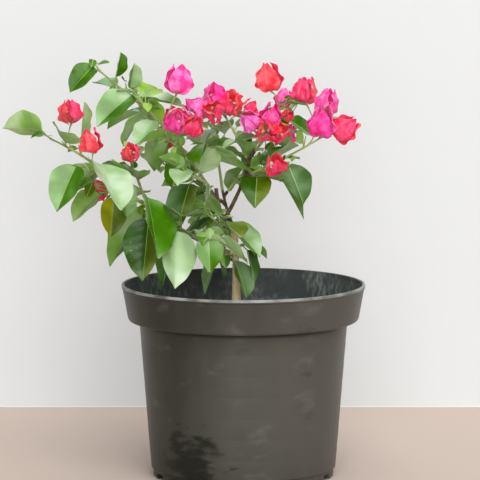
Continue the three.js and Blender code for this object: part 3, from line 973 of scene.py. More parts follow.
# Each shoot: its name, what carries it and where, its tip and bow; then how many leaves it has, their
# length, droop, seed and greens; then its blooms
SHOOTS = (
    ShootPlan(
        "left_drooping_shoot", "left_bough", 0.92, (-155, -72, 317), (0, 0, 3),
        4, 56, (0.3, 2.2), 52651, (Green.GREYED, Green.MIDDLE, Green.GREYED, Green.MIDDLE),
        (BloomPlan(0.6, (-149, -60, 343), 28, Petal.ROSE),),
    ),
    ShootPlan(
        "left_tip_shoot", "left_bough", 1, (-189, -52, 342), (0, 0, 5),
        4, 46, (-0.3, 1.2), 109972, (Green.MIDDLE, Green.FRESH),
        (BloomPlan(0.55, (-170, -46, 370), 28, Petal.ROSE),),
    ),
    ShootPlan(
        "left_under_shoot", "left_bough", 0.8, (-142, -58, 294), (0, -4, 0),
        4, 48, (0.3, 1.8), 108658, (Green.OLIVE, Green.YELLOW, Green.DEEP, Green.MIDDLE),
        (BloomPlan(0.5, (-144, -30, 290), 24, Petal.ROSE),),
    ),
    ShootPlan(
        "left_inner_shoot", "left_bough", 0.7, (-111, -30, 318), (0, 0, 0),
        4, 32, (-0.2, 1.2), 298963, (Green.FRESH, Green.MIDDLE, Green.GREYED),
        (BloomPlan(0.8, (-110, -44, 329), 22, Petal.CORAL),),
    ),
    ShootPlan(
        "left_hanging_shoot", "left_bough", 0.58, (-95, -66, 276), (0, 0, 4),
        4, 66, (0.8, 2.8), 396512, (Green.MIDDLE, Green.GREYED, Green.DEEP, Green.MIDDLE),
    ),
    ShootPlan(
        "front_hanging_shoot", "left_bough", 0.36, (-66, -66, 255), (0, 0, 4),
        4, 58, (0.4, 2.8), 260475, (Green.GREYED, Green.MIDDLE, Green.DEEP),
    ),
    ShootPlan(
        "low_front_shoot", "trunk", 0.62, (-34, -66, 241), (0, 0, 0),
        4, 48, (0.3, 2.6), 359414, (Green.DEEP, Green.MIDDLE),
    ),
    ShootPlan(
        "low_middle_shoot", "trunk", 0.78, (-37, -40, 267), (0, 0, 6),
        5, 42, (0, 2.2), 309329, (Green.GREYED, Green.MIDDLE, Green.OLIVE, Green.DEEP),
    ),
    ShootPlan(
        "low_right_shoot", "trunk", 0.76, (5, -22, 234), (0, 0, 3),
        3, 38, (0.3, 2.4), 224992, (Green.GREYED, Green.DEEP),
    ),
    ShootPlan(
        "right_leafy_shoot", "right_bough", 0.5, (40, -16, 307), (0, 0, 0),
        5, 52, (0.1, 2.2), 103556, (Green.MIDDLE, Green.DEEP, Green.MIDDLE),
        (BloomPlan(0.8, (31, -34, 316), 27, Petal.CORAL),),
    ),
    ShootPlan(
        "upper_left_tip_shoot", "upper_left_bough", 1, (-143, 24, 402), (0, 0, 0),
        6, 34, (-0.7, 1.6), 2279, (Green.GREYED, Green.FRESH, Green.MIDDLE),
    ),
    ShootPlan(
        "upper_left_middle_shoot", "upper_left_bough", 0.86, (-102, 2, 374), (0, 0, 0),
        5, 44, (-0.3, 1.8), 148449, (Green.GREYED, Green.MIDDLE),
    ),
    ShootPlan(
        "centre_left_shoot", "upper_left_bough", 0.6, (-74, -24, 338), (0, 0, 0),
        4, 32, (-0.3, 1.4), 364906, (Green.FRESH, Green.MIDDLE),
        (
            BloomPlan(0.7, (-66, -50, 360), 26, Petal.PINK),
            BloomPlan(0.8, (-48, -46, 356), 26, Petal.ROSE),
            BloomPlan(1, (-64, -10, 399), 34, Petal.MAGENTA),
        ),
    ),
    ShootPlan(
        "centre_shoot", "upper_left_bough", 0.25, (-58, -34, 307), (0, 0, 0),
        5, 42, (-0.2, 1.4), 207347, (Green.MIDDLE, Green.GREYED, Green.DEEP),
    ),
    ShootPlan(
        "centre_high_shoot", "upper_left_bough", 0.45, (-37, -16, 329), (0, 0, 0),
        5, 42, (-0.3, 1.2), 149611, (Green.DEEP, Green.MIDDLE, Green.GREYED),
    ),
    ShootPlan(
        "top_shoot", "right_bough", 0.8, (-17, 2, 357), (0, 0, 4),
        4, 32, (-0.3, 1.2), 254364, (Green.MIDDLE, Green.GREYED),
        (
            BloomPlan(0.8, (6, 0, 369), 20, Petal.ROSE),
            BloomPlan(0.9, (-12, -14, 376), 30, Petal.CORAL),
            BloomPlan(1, (-37, -22, 375), 42, Petal.MAGENTA),
        ),
    ),
    ShootPlan(
        "right_top_shoot", "right_bough", 1, (39, 6, 368), (0, 0, 0),
        5, 28, (-0.3, 1), 231368, (Green.FRESH, Green.GREYED, Green.OLIVE),
        (
            BloomPlan(0.35, (37, -18, 346), 26, Petal.CORAL),
            BloomPlan(0.45, (18, -26, 358), 40, Petal.MAGENTA),
            BloomPlan(0.7, (45, 4, 360), 14, Petal.CORAL),
            BloomPlan(0.75, (25, 6, 400), 33, Petal.CORAL),
            BloomPlan(1, (41, 14, 377), 22, Petal.PINK),
        ),
    ),
    ShootPlan(
        "right_tip_shoot", "right_bough", 0.64, (83, -8, 342), (-8, 0, -8),
        4, 20, (-0.3, 1), 100298, (Green.FRESH, Green.OLIVE),
        (
            BloomPlan(0.75, (62, 4, 387), 30, Petal.ROSE),
            BloomPlan(0.85, (84, -4, 376), 30, Petal.PINK),
            BloomPlan(0.9, (78, -14, 357), 34, Petal.PINK),
            BloomPlan(1, (103, -8, 349), 32, Petal.ROSE),
        ),
    ),
    ShootPlan(
        "back_left_shoot", "back_bough", 0.75, (-78, 92, 299), (0, 0, 6),
        7, 42, (-0.2, 1.6), 147768, (Green.DEEP, Green.MIDDLE, Green.FRESH),
        (BloomPlan(1, (-80, 100, 330), 28, Petal.ROSE),),
    ),
    ShootPlan(
        "back_right_shoot", "back_bough", 0.9, (19, 96, 309), (0, 0, 6),
        7, 42, (-0.2, 1.6), 131229, (Green.MIDDLE, Green.DEEP),
        (
            BloomPlan(0.8, (44, 88, 335), 28, Petal.MAGENTA),
            BloomPlan(1, (20, 104, 345), 30, Petal.ROSE),
        ),
    ),
    ShootPlan(
        "back_top_shoot", "back_bough", 1, (-32, 74, 348), (0, 0, 6),
        6, 38, (-0.2, 1.4), 19314, (Green.FRESH, Green.MIDDLE, Green.DEEP),
        (
            BloomPlan(0.8, (-58, 80, 352), 28, Petal.CORAL),
            BloomPlan(1, (-30, 85, 372), 30, Petal.MAGENTA),
        ),
    ),
    ShootPlan(
        "back_upper_left_shoot", "upper_left_bough", 0.72, (-94, 66, 337), (0, 0, 6),
        6, 40, (-0.2, 1.6), 334452, (Green.MIDDLE, Green.DEEP, Green.FRESH),
        (BloomPlan(0.9, (-70, 84, 352), 26, Petal.ROSE),),
    ),
    ShootPlan(
        "back_upper_right_shoot", "right_bough", 0.9, (47, 62, 355), (0, 0, 6),
        6, 32, (-0.2, 1.4), 290973, (Green.MIDDLE, Green.FRESH),
        (BloomPlan(1, (60, 72, 380), 30, Petal.PINK),),
    ),
    ShootPlan(
        "back_low_shoot", "back_bough", 0.4, (-40, 90, 239), (0, 0, 6),
        6, 46, (0.2, 2), 231926, (Green.DEEP, Green.MIDDLE, Green.OLIVE),
    ),
)


# Laying out the limbs and shoots


COLLAR_CLEARANCE = 1.2
COLLAR_WIDTH = 1.12
LEAST_SLOPE = 0.35
FLARE_HEIGHT = 0.07


@dataclass(frozen=True)
class Collar:
    """A limb's own wood around the foot of a branch."""

    curve: BowedCurve
    radius: float
    reach: float


@dataclass
class Limb:
    """One woody limb laid out in space."""

    plan: LimbPlan
    curve: BowedCurve
    start: float = 0.0
    collars: list[Collar] = field(default_factory=list)

    def radius(self, along: float) -> float:
        """Give the limb's radius at a share of the way along it."""
        taper = self.plan.root_radius + (self.plan.tip_radius - self.plan.root_radius) * along
        return taper + self.plan.flare * math.exp(-along / FLARE_HEIGHT)


def root_start(curve: BowedCurve, radius: float, parent: Limb | None, at: float) -> float:
    """Find where a branch starts on its own curve, clear of its parent, and give the parent its collar.

    Args:
        curve: The branch's curve, from its parent's axis.
        radius: The branch's radius at its foot.
        parent: The limb it grows from.
        at: Where on that limb.

    Returns:
        The share of the branch's curve at which its own wood starts.
    """
    if parent is None:
        return 0.0
    length_per_share = 2 * float(np.linalg.norm(curve.middle - curve.start))
    slope = math.acos(min(1.0, float(np.dot(curve.tangent(0), parent.curve.tangent(at)))))
    if at == 1:
        return (GAP + radius * math.sin(slope)) / length_per_share
    reach = (parent.radius(at) + radius + COLLAR_CLEARANCE) / max(math.sin(slope), LEAST_SLOPE)
    parent.collars.append(Collar(curve, radius * COLLAR_WIDTH, reach / length_per_share))
    return (reach + GAP) / length_per_share


def lay_out_limbs(plans: tuple[LimbPlan, ...]) -> dict[str, Limb]:
    """Place every limb on its parent.

    Args:
        plans: The limbs' plans, parents first.

    Returns:
        The limbs by name.
    """
    limbs: dict[str, Limb] = {}
    for plan in plans:
        parent = limbs.get(plan.parent)
        start = parent.curve.point(plan.at) if parent else np.array(plan.start)
        limb = Limb(plan, BowedCurve.bowed(start, plan.to, plan.bow))
        limb.start = root_start(limb.curve, limb.radius(0), parent, plan.at)
        limbs[plan.name] = limb
    return limbs


@dataclass(frozen=True)
class Bloom:
    """One bloom laid out in space."""

    plan: BloomPlan
    stalk: BowedCurve
    axis: Array
    first_turn: float
    openings: tuple[float, ...]

    def bracts(self) -> list[Range]:
        """List each bract's turn about the bloom's axis and how far it opens."""
        step = 2 * math.pi / len(self.openings)
        return [(self.first_turn + i * step, opening) for i, opening in enumerate(self.openings)]

    def outwards(self, turn: float) -> Array:
        """Give the direction square to the bloom's axis, at a turn about it."""
        side = unit(np.cross(self.axis, DEPTH))
        return side * math.cos(turn) + np.cross(side, self.axis) * math.sin(turn)


@dataclass
class Shoot:
    """One leafy shoot laid out in space."""

    plan: ShootPlan
    curve: BowedCurve
    start: float
    blooms: list[Bloom]
    leaves: list[LeafPlace] = field(default_factory=list)

    ROOT_RADIUS = 1.5
    TIP_RADIUS = 0.8

    def radius(self, along: float | Array) -> float | Array:
        """Give the stem's radius at shares of the way along it."""
        return self.ROOT_RADIUS + (self.TIP_RADIUS - self.ROOT_RADIUS) * along


@dataclass(frozen=True)
class BloomRule:
    """How a bloom stands on its stalk and how far its bracts open."""

    bracts: int = 3
    opening: float = 0.74
    jitter: float = 0.15
    lift: float = 0.35
    stalk_bow: float = 0.4
    last_node: float = 0.96
    stream: int = 5000

    def blooms(self, plan: ShootPlan, curve: BowedCurve) -> list[Bloom]:
        """Lay out one shoot's blooms.

        Args:
            plan: The shoot's plan.
            curve: The shoot's stem.

        Returns:
            The blooms.
        """
        draw = SeededRandom(plan.seed + self.stream)
        made = []
        for bloom in plan.blooms:
            node = curve.point(min(bloom.at, self.last_node))
            centre = np.array(bloom.centre, float)
            distance = float(np.linalg.norm(centre - node))
            axis = unit(unit(centre - node) + self.lift * UP)
            elbow = node + curve.tangent(bloom.at) * distance * self.stalk_bow
            stalk = BowedCurve(node, elbow, centre - axis * bloom.length / 2)
            first_turn = draw.between(0, 2 * math.pi)
            spread = [draw.between(-self.jitter, self.jitter) for _ in range(self.bracts)]
            openings = tuple(self.opening + wider for wider in spread)
            made.append(Bloom(bloom, stalk, axis, first_turn, openings))
        return made


def lay_out_shoots(plans: tuple[ShootPlan, ...], limbs: dict[str, Limb]) -> list[Shoot]:
    """Place every shoot's stem and blooms, before any leaf.

    Args:
        plans: The shoots' plans.
        limbs: The limbs they grow from.

    Returns:
        The shoots.
    """
    shoots = []
    for plan in plans:
        parent = limbs[plan.parent]
        curve = BowedCurve.bowed(parent.curve.point(plan.at), plan.to, plan.bow)
        start = root_start(curve, Shoot.ROOT_RADIUS, parent, plan.at)
        shoots.append(Shoot(plan, curve, start, BloomRule().blooms(plan, curve)))
    return shoots


# Rough shapes, which tell whether a new leaf would touch something


Shape = tuple[Array, list[list[int]]]
ROUGH_SIDES = 6
# The share of a limb from which it no longer flares
PLAIN_FROM = 0.15
ROUGH_STALK_RADIUS = 0.7


def rough_tube(curve: BowedCurve, stretch: Range, radii: Range, steps: int) -> Shape:
    """Make a plain tube along a stretch of a curve.

    Args:
        curve: The curve.
        stretch: The shares of the curve it runs between.
        radii: Its first and last radius.
        steps: How many lengths it has.

    Returns:
        Its points and faces.
    """
    draft = Draft()
    draft.rod(curve, np.linspace(*radii, steps + 1), ROUGH_SIDES, stretch=stretch)
    return np.vstack(draft.points), draft.faces


def rough_blade(spine: Array, side: Array, normal: Array, size: Array, fold: float) -> Shape:
    """Make a closed four-sided blade.

    Args:
        spine: Its middle at each station.
        side: The direction across it.
        normal: The direction its upper face looks in.
        size: Its half width and half depth at each station.
        fold: How steeply its sides rise.

    Returns:
        Its points and faces.
    """
    width, depth = size[:, :1], size[:, 1:]
    edge = side * width
    rise = normal * width * fold
    ring = [spine + edge + rise, spine + normal * depth, spine - edge + rise, spine - normal * depth]
    points = np.stack(ring, 1).reshape(-1, 3)
    last = len(points) - 1
    faces = grid_faces(len(spine), 4, wrapped=True).tolist()
    return points, [*faces, [0, 1, 2, 3], [last, last - 1, last - 2, last - 3]]


@dataclass(frozen=True)
class LeafOutline:
    """The outline of a leaf: broad near the foot, drawn out to a point."""

    scale: float = 2.95
    foot_power: float = 0.6
    tip_power: float = 1.05
    width: float = 0.76
    fold: float = 0.22
    sag: float = 0.12
    half_thickness: float = 0.01
    petiole_radius: float = 0.75
    petiole_from: float = 0.1
    rough_stations: tuple[float, ...] = (0.28, 0.63, 0.88)

    def half_width(self, share: Array, length: float) -> Array:
        """Give the half widths at shares of the way to the tip of a blade of some length."""
        outline = self.scale * share**self.foot_power * (1 - share) ** self.tip_power
        return self.width / 2 * length * outline

    def spine(self, place: LeafPlace, share: Array) -> Array:
        """Give the points of the blade's middle, which sags towards the tip."""
        along = np.asarray(share)[:, None]
        return place.base + along * place.length * place.axis - self.sag * along**2 * place.length * UP

    def rough(self, place: LeafPlace, grown: float, petiole: bool) -> Shape:
        """Make the leaf's rough shape.

        Args:
            place: The leaf's place.
            grown: How far it is grown on all sides.
            petiole: Whether it has its petiole.

        Returns:
            Its points and faces.
        """
        blade = np.array(self.rough_stations)
        widths = self.half_width(blade, place.length) + grown
        depths = np.full(len(blade), self.half_thickness * place.length + grown)
        foot = self.petiole_radius + grown
        spine = [place.base, *self.spine(place, blade), self.spine(place, np.array([1.0]))[0]]
        size = [(foot, foot), *zip(widths, depths), (grown, grown)]
        if petiole:
            spine.insert(0, place.root + (place.base - place.root) * self.petiole_from)
            size.insert(0, (foot, foot))
        side = np.cross(place.axis, place.normal)
        return rough_blade(np.array(spine), side, place.normal, np.array(size), self.fold)


class Clearance:
    """The rough shapes of all that has grown so far."""

    def __init__(self) -> None:
        """Start with nothing."""
        self.grown: list[tuple[str, Array, Array, BVHTree]] = []

    def add(self, owner: str, shape: Shape) -> None:
        """Take in a shape.

        Args:
            owner: The piece it belongs to.
            shape: Its points and faces.
        """
        points, faces = shape
        tree = BVHTree.FromPolygons(points.tolist(), faces)
        self.grown.append((owner, points.min(0), points.max(0), tree))

    def free(self, shape: Shape, name: str, own: bool) -> bool:
        """Tell whether a shape touches nothing of its own shoot, or else nothing of all the rest.

        Args:
            shape: Its points and faces.
            name: The shoot it belongs to.
            own: Whether to look at that shoot, and not at the rest.

        Returns:
            Whether it is free.
        """
        points, faces = shape
        low, high = points.min(0), points.max(0)
        tree = None
        for owner, other_low, other_high, other in self.grown:
            if (owner == name) != own:
                continue
            if (low > other_high).any() or (high < other_low).any():
                continue
            tree = tree or BVHTree.FromPolygons(points.tolist(), faces)
            if tree.overlap(other):
                return False
        return True

    def room(self, outline: LeafOutline, place: LeafPlace, owner: str) -> bool:
        """Tell whether a leaf would touch nothing, apart from its own stem with its petiole.

        Args:
            outline: The leaf's outline.
            place: Where it would sit.
            owner: The shoot it belongs to.

        Returns:
            Whether it has room.
        """
        whole = outline.rough(place, GAP, petiole=True)
        blade = outline.rough(place, GAP, petiole=False)
        return self.free(whole, owner, own=False) and self.free(blade, owner, own=True)


@dataclass(frozen=True)
class BractPlace:
    """Where one bract starts and how it leans."""

    start: Array
    axis: Array
    normal: Array
    out: Array
    length: float

    def spine(self, share: Array, curl: float) -> Array:
        """Give the points of the bract's middle, which curls back over the bloom."""
        along = np.asarray(share)[:, None]
        return self.start + along * self.length * self.axis - curl * along**2 * self.length * self.out


@dataclass(frozen=True)
class BractShape:
    """The rough shape of a bract, and where each sits on its bloom."""

    width: float = 0.74
    foot_power: float = 0.95
    curl: float = 0.45
    fold: float = -0.12
    half_thickness: float = 0.01
    foot_radius: float = 1.3
    rough_stations: tuple[float, ...] = (0.04, 0.16, 0.5, 0.82, 0.98)

    def place(self, bloom: Bloom, turn: float, opening: float) -> BractPlace:
        """Place one bract.

        Args:
            bloom: Its bloom.
            turn: Its turn about the bloom's axis.
            opening: How far it opens from the axis, in radians.

        Returns:
            Its place.
        """
        out = bloom.outwards(turn)
        axis = bloom.axis * math.cos(opening) + out * math.sin(opening)
        normal = out * math.cos(opening) - bloom.axis * math.sin(opening)
        return BractPlace(bloom.stalk.end + out * self.foot_radius, axis, normal, out, bloom.plan.length)

    def rough(self, place: BractPlace) -> Shape:
        """Make a bract's rough shape.

        Args:
            place: Its place.

        Returns:
            Its points and faces.
        """
        share = np.array(self.rough_stations)
        widths = self.width / 2 * place.length * np.sin(math.pi * share**self.foot_power)
        depths = self.half_thickness * place.length * np.minimum(1, 4 * share * (1 - share))
        side = np.cross(place.axis, place.normal)
        size = np.stack([widths, depths], 1)
        return rough_blade(place.spine(share, self.curl), side, place.normal, size, self.fold)


def before_leaves(shoots: list[Shoot], limbs: dict[str, Limb], solids: list[Shape]) -> Clearance:
    """Take in all that stands before any leaf grows.

    Args:
        shoots: The shoots, with their blooms.
        limbs: The limbs.
        solids: The shapes of the pot and its soil.

    Returns:
        Their rough shapes.
    """
    clearance = Clearance()
    for shape in solids:
        clearance.add("pot", shape)
    for name, limb in limbs.items():
        radii = (limb.radius(PLAIN_FROM), limb.radius(1))
        clearance.add(name, rough_tube(limb.curve, (limb.start, 1), radii, steps=10))
        for collar in limb.collars:
            radii = (collar.radius, collar.radius)
            clearance.add(name, rough_tube(collar.curve, (0, collar.reach), radii, steps=1))
    bracts = BractShape()
    for shoot in shoots:
        name = shoot.plan.name
        radii = (shoot.ROOT_RADIUS, shoot.TIP_RADIUS)
        clearance.add(name, rough_tube(shoot.curve, (shoot.start, 1), radii, steps=6))
        for bloom in shoot.blooms:
            radii = (ROUGH_STALK_RADIUS, ROUGH_STALK_RADIUS)
            clearance.add(name, rough_tube(bloom.stalk, (0, 1), radii, steps=2))
            for turn, opening in bloom.bracts():
                clearance.add(name, bracts.rough(bracts.place(bloom, turn, opening)))
    return clearance


def grow_leaves(shoots: list[Shoot], clearance: Clearance) -> None:
    """Give each shoot the leaves that have room.

    Args:
        shoots: The shoots, whose leaves are filled in.
        clearance: All that has grown, which takes in the leaves.
    """
    outline = LeafOutline()
    for shoot in shoots:
        plan = shoot.plan
        for place in LeafRule().places(shoot.curve, plan.leaves, plan.leaf_length, plan.droop, plan.seed):
            if clearance.room(outline, place, plan.name):
                shoot.leaves.append(place)
                clearance.add(plan.name, outline.rough(place, 0, petiole=True))
        log.info("%s: %d of %d leaves have room", plan.name, len(shoot.leaves), plan.leaves)


# Limbs


PRUNED_LIMBS = ("trunk", "pruned_leader")


@dataclass
class Limbs:
    """The trunk and boughs, with the bark's relief, swollen forks and pale cuts."""

    limbs: dict[str, Limb]
    step_mm: float = 0.9
    sides: int = 40
    swelling: float = 0.07
    swelling_mm: float = 17.0
    ring_mm: float = 13.0
    ring_lift: float = 0.05
    ring_spread: float = 0.006
    grain_mm: float = 9.0
    grain_around: float = 2.2
    lump: float = 0.06
    lump_grain: float = 0.6
    fissure: float = 0.045
    fissure_grain: float = 1.7
    fissure_slope: float = 3.0
    fissure_width: float = 0.33
    sunk_mm: float = 3.0
    overlap_mm: float = 1.5
    sleeve_rings: int = 14
    sleeve_swelling: float = 0.35
    stub_at: float = 0.54
    stub_to: Point = (-1.0, -3.0, 208.0)
    stub_radius: float = 1.4
    stub_swelling: float = 0.25
    stub_rings: int = 16
    sharp_deg: float = 60.0

    def relief(self, centres: Array, base: Array) -> Array:
        """Work out the radii of a limb with its swellings, rings and fissures.

        Args:
            centres: The centre line.
            base: The plain radius at each ring of points.

        Returns:
            The radius of each point.
        """
        steps = np.linalg.norm(np.diff(centres, axis=0), axis=1)
        lengths = np.concatenate([[0], np.cumsum(steps)])
        radii = np.empty((len(centres), self.sides))
        for i, centre in enumerate(centres):
            swell = self.swelling * noise.noise(Vector(centre) / self.swelling_mm)
            from_ring = (lengths[i] / self.ring_mm) % 1 - 0.5
            ring = self.ring_lift * math.exp(-(from_ring**2) / self.ring_spread)
            for j in range(self.sides):
                turn = j * 2 * math.pi / self.sides
                around = (math.cos(turn) * self.grain_around, math.sin(turn) * self.grain_around)
                spot = Vector((*around, lengths[i] / self.grain_mm))
                lump = self.lump * noise.noise(spot * self.lump_grain)
                groove = min(abs(noise.noise(spot * self.fissure_grain)), self.fissure_width)
                fissure = self.fissure * (1 - self.fissure_slope * groove)
                radii[i, j] = base[i] * (1 + swell + ring + lump - fissure)
        return radii

    def wood(self, draft: Draft, curve: BowedCurve, shares: Array, base: Array, cap: int) -> None:
        """Add one stretch of wood, with a ring at each share of its curve and the finish of its ends."""
        centres, across = curve.frames(shares)
        draft.tube(centres, across, self.relief(centres, base), 0, cap)

    def sleeve(self, draft: Draft, collar: Collar) -> None:
        """Add the swollen foot of a branch.

        Args:
            draft: The piece it is added to.
            collar: The branch's collar.
        """
        shares = np.linspace(0, collar.reach, self.sleeve_rings)
        rest = 1 - np.linspace(0, 1, self.sleeve_rings)
        self.wood(draft, collar.curve, shares, collar.radius * (1 + self.sleeve_swelling * rest**2), 0)

    def stub(self, draft: Draft, trunk: Limb) -> None:
        """Add the cut stub on the trunk.

        Args:
            draft: The piece it is added to.
            trunk: The trunk.
        """
        line = BowedCurve.bowed(trunk.curve.point(self.stub_at), self.stub_to, (0, 0, 0))
        shares = np.linspace(0, 1, self.stub_rings)
        base = self.stub_radius * (1 + self.stub_swelling - self.stub_swelling * shares)
        self.wood(draft, line, shares, base, 1)

    def limb(self, limb: Limb) -> Draft:
        """Draft one limb.

        Args:
            limb: The limb.

        Returns:
            Its mesh.
        """
        draft = Draft()
        length = limb.curve.length()
        trunk = limb.plan.parent is None
        first = -self.sunk_mm / length if trunk else limb.start - self.overlap_mm / length
        shares = np.linspace(first, 1, int(length / self.step_mm))
        base = np.array([limb.radius(max(share, 0)) for share in shares])
        self.wood(draft, limb.curve, shares, base, 1)
        for collar in limb.collars:
            self.sleeve(draft, collar)
        if trunk:
            self.stub(draft, limb)
        return draft

    def build(self) -> None:
        """Make the limbs' pieces."""
        for name, limb in self.limbs.items():
            bark = limb.plan.bark
            ends = Bark.CUT if name in PRUNED_LIMBS else bark
            piece = self.limb(limb).piece(f"{name}_wood", [bark.value, ends.value], self.sharp_deg)
            publish(piece, [name])


# Leaves


GREENS = list(Green)
UNDERSIDE = GREENS.index(Green.UNDERSIDE)
MIDRIB = GREENS.index(Green.MIDRIB)
# One half of some leaves takes a lighter or darker green than the other, as painted light and shade across
# the midrib; a yellowing leaf's other half is olive, its own colour
PAINTED_LIGHT_OR_TURNING_HALF = {
    Green.DEEP: Green.OLIVE,
    Green.MIDDLE: Green.SHEEN,
    Green.GREYED: Green.SHEEN,
    Green.FRESH: Green.MIDDLE,
    Green.YELLOW: Green.OLIVE,
}


@dataclass(frozen=True)
class LeafModel:
    """A leaf's fine shape: folded, veined, wavy at the margin, on a bowed petiole."""

    outline: LeafOutline = LeafOutline()
    stations: int = 38
    crowding: float = 0.92
    half_columns: tuple[float, ...] = (0.0, 0.26, 0.52, 0.78, 1.0)
    roundness: float = 2.3
    foot_power: float = 0.5
    tip_power: float = 0.76
    tip_narrowing: float = 0.5
    tip_share: float = 0.09
    veins: float = 7.0
    vein_slant: float = 0.2
    vein_power: float = 0.8
    fold: float = 0.44
    fold_power: float = 1.2
    quilt: float = 0.022
    quilt_power: float = 0.7
    wave: float = 0.02
    wave_turns: float = 2.2
    wave_power: float = 2.5
    wave_shift: Range = (0.5, 1.5)
    thickness: float = 0.5
    thinning: float = 0.6
    edge_thickness: float = 0.35
    full_grown_mm: float = 30.0
    midrib: float = 0.42
    midrib_taper: float = 0.7
    midrib_limit: float = 0.4
    petiole_radii: Range = (0.75, 0.55)
    petiole_sag: float = 0.05
    rib_radii: Range = (0.44, 0.12)
    rib_stretch: Range = (0.05, 0.8)
    stalk_rings: int = 7
    stalk_sides: int = 8
    # Leaves whose wave phase is above this get one half in painted light or shade
    painted_light_half_phase: float = 2.2

    def half_width(self, share: Array, length: float) -> Array:
        """Give the half widths: a little rounder than the rough outline, with a short drawn-out tip.

        Args:
            share: The shares of the way to the tip.
            length: The blade's length.

        Returns:
            The half width at each share.
        """
        oval = self.roundness * share**self.foot_power * (1 - share) ** self.tip_power
        drawn_out = 1 - self.tip_narrowing * np.exp(-(((1 - share) / self.tip_share) ** 2))
        return self.outline.width / 2 * length * oval * drawn_out

    def quilting(self, share: Array, reach: Array, length: float) -> Array:
        """Work out how the blade rises between its veins.

        Args:
            share: The share of the way to the tip.
            reach: The share of the way from the midrib to the margin.
            length: The blade's length.

        Returns:
            The rise of each point.
        """
        slanted = share[:, None] - self.vein_slant * reach
        ribs = np.abs(np.sin(math.pi * self.veins * slanted)) ** self.vein_power
        inside = np.sin(math.pi * np.minimum(reach, 1)) ** self.quilt_power
        return self.quilt * length * ribs * inside * np.sin(math.pi * share[:, None])

    def bands(self, green: int, phase: float, shift: float) -> Array:
        """Choose the finish of each strip of faces along the blade, above and below, with one half painted
        lighter or darker as painted light and shade on some leaves, and olive on a yellowing leaf.

        Args:
            green: The finish of the upper face.
            phase: The phase of the margin's waves.
            shift: The shift between its two sides.

        Returns:
            The finishes, from one margin across the top and back underneath.
        """
        half = len(self.half_columns)
        band = np.full(4 * half, green)
        # Painted light and shade: one half of the blade takes a lighter or darker green
        if phase > self.painted_light_half_phase or GREENS[green] is Green.YELLOW:
            first = 0 if shift > 1 else half
            band[first : first + half - 1] = GREENS.index(PAINTED_LIGHT_OR_TURNING_HALF.get(GREENS[green], GREENS[green]))
        band[2 * half - 1 :] = UNDERSIDE
        band[[half - 1, 3 * half - 1]] = MIDRIB
        return band

    def add(self, draft: Draft, place: LeafPlace, green: int, draw: SeededRandom, wave: float = 1.0) -> None:
        """Add one leaf.

        Args:
            draft: The piece it is added to.
            place: Where it sits.
            green: The finish of its upper face.
            draw: The stream its waves are drawn from.
            wave: How wavy its margin is.
        """
        share = np.linspace(0, 1, self.stations + 2)[1:-1] ** self.crowding
        half = self.half_width(share, place.length)
        rib = np.minimum(self.midrib * (1 - self.midrib_taper * share), half * self.midrib_limit)
        right = rib[:, None] + (half - rib)[:, None] * np.array(self.half_columns)
        across = np.hstack([-right[:, ::-1], right])
        reach = np.abs(across) / half[:, None]
        phase = draw.between(0, 2 * math.pi)
        shift = draw.between(*self.wave_shift)
        edge = np.sin(2 * math.pi * self.wave_turns * share[:, None] + phase + (across > 0) * shift)
        rise = self.fold * half[:, None] * reach**self.fold_power + self.quilting(share, reach, place.length)
        rise += wave * self.wave * place.length * edge * reach**self.wave_power
        side = np.cross(place.axis, place.normal)
        spine = self.outline.spine(place, share)
        top = spine[:, None] + across[..., None] * side + rise[..., None] * place.normal
        small = min(1.0, place.length / self.full_grown_mm)
        body = self.thickness * small * np.maximum(self.edge_thickness, 1 - self.thinning * reach)
        rings = np.concatenate([top, (top - body[..., None] * place.normal)[:, ::-1]], 1)
        finishes = np.tile(self.bands(green, phase, shift), len(share) - 1)
        draft.add(rings, grid_faces(len(share), rings.shape[1], wrapped=True), finishes)
        draft.fan(rings[0], self.outline.spine(place, np.array([0.0])), green)
        draft.fan(rings[-1], self.outline.spine(place, np.array([1.0])), green, flipped=True)
        self.stalk(draft, place, small)

    def stalk(self, draft: Draft, place: LeafPlace, small: float) -> None:
        """Add a leaf's petiole, which runs on as the midrib under the blade.

        Args:
            draft: The piece it is added to.
            place: Where the leaf sits.
            small: How much thinner a young leaf's petiole is.
        """
        curve = BowedCurve.bowed(place.root, place.base, -self.petiole_sag * place.length * UP)
        centres, across = curve.frames(np.linspace(0, 1, self.stalk_rings))
        below = self.outline.spine(place, np.linspace(*self.rib_stretch, self.stalk_rings))
        side = np.cross(place.axis, place.normal)
        square = np.tile([side, np.cross(side, place.axis)], (self.stalk_rings, 1, 1))
        stretches = (self.petiole_radii, self.rib_radii)
        radii = np.concatenate([np.linspace(*ends, self.stalk_rings) for ends in stretches])
        draft.tube(
            np.vstack([centres, below - self.thickness * small * place.normal]),
            np.concatenate([across, square]),
            radii[:, None] * np.full(self.stalk_sides, small),
            MIDRIB,
        )


# Finer twigs


YOUNG_GREENS = (Green.FRESH, Green.OLIVE, Green.MIDDLE)


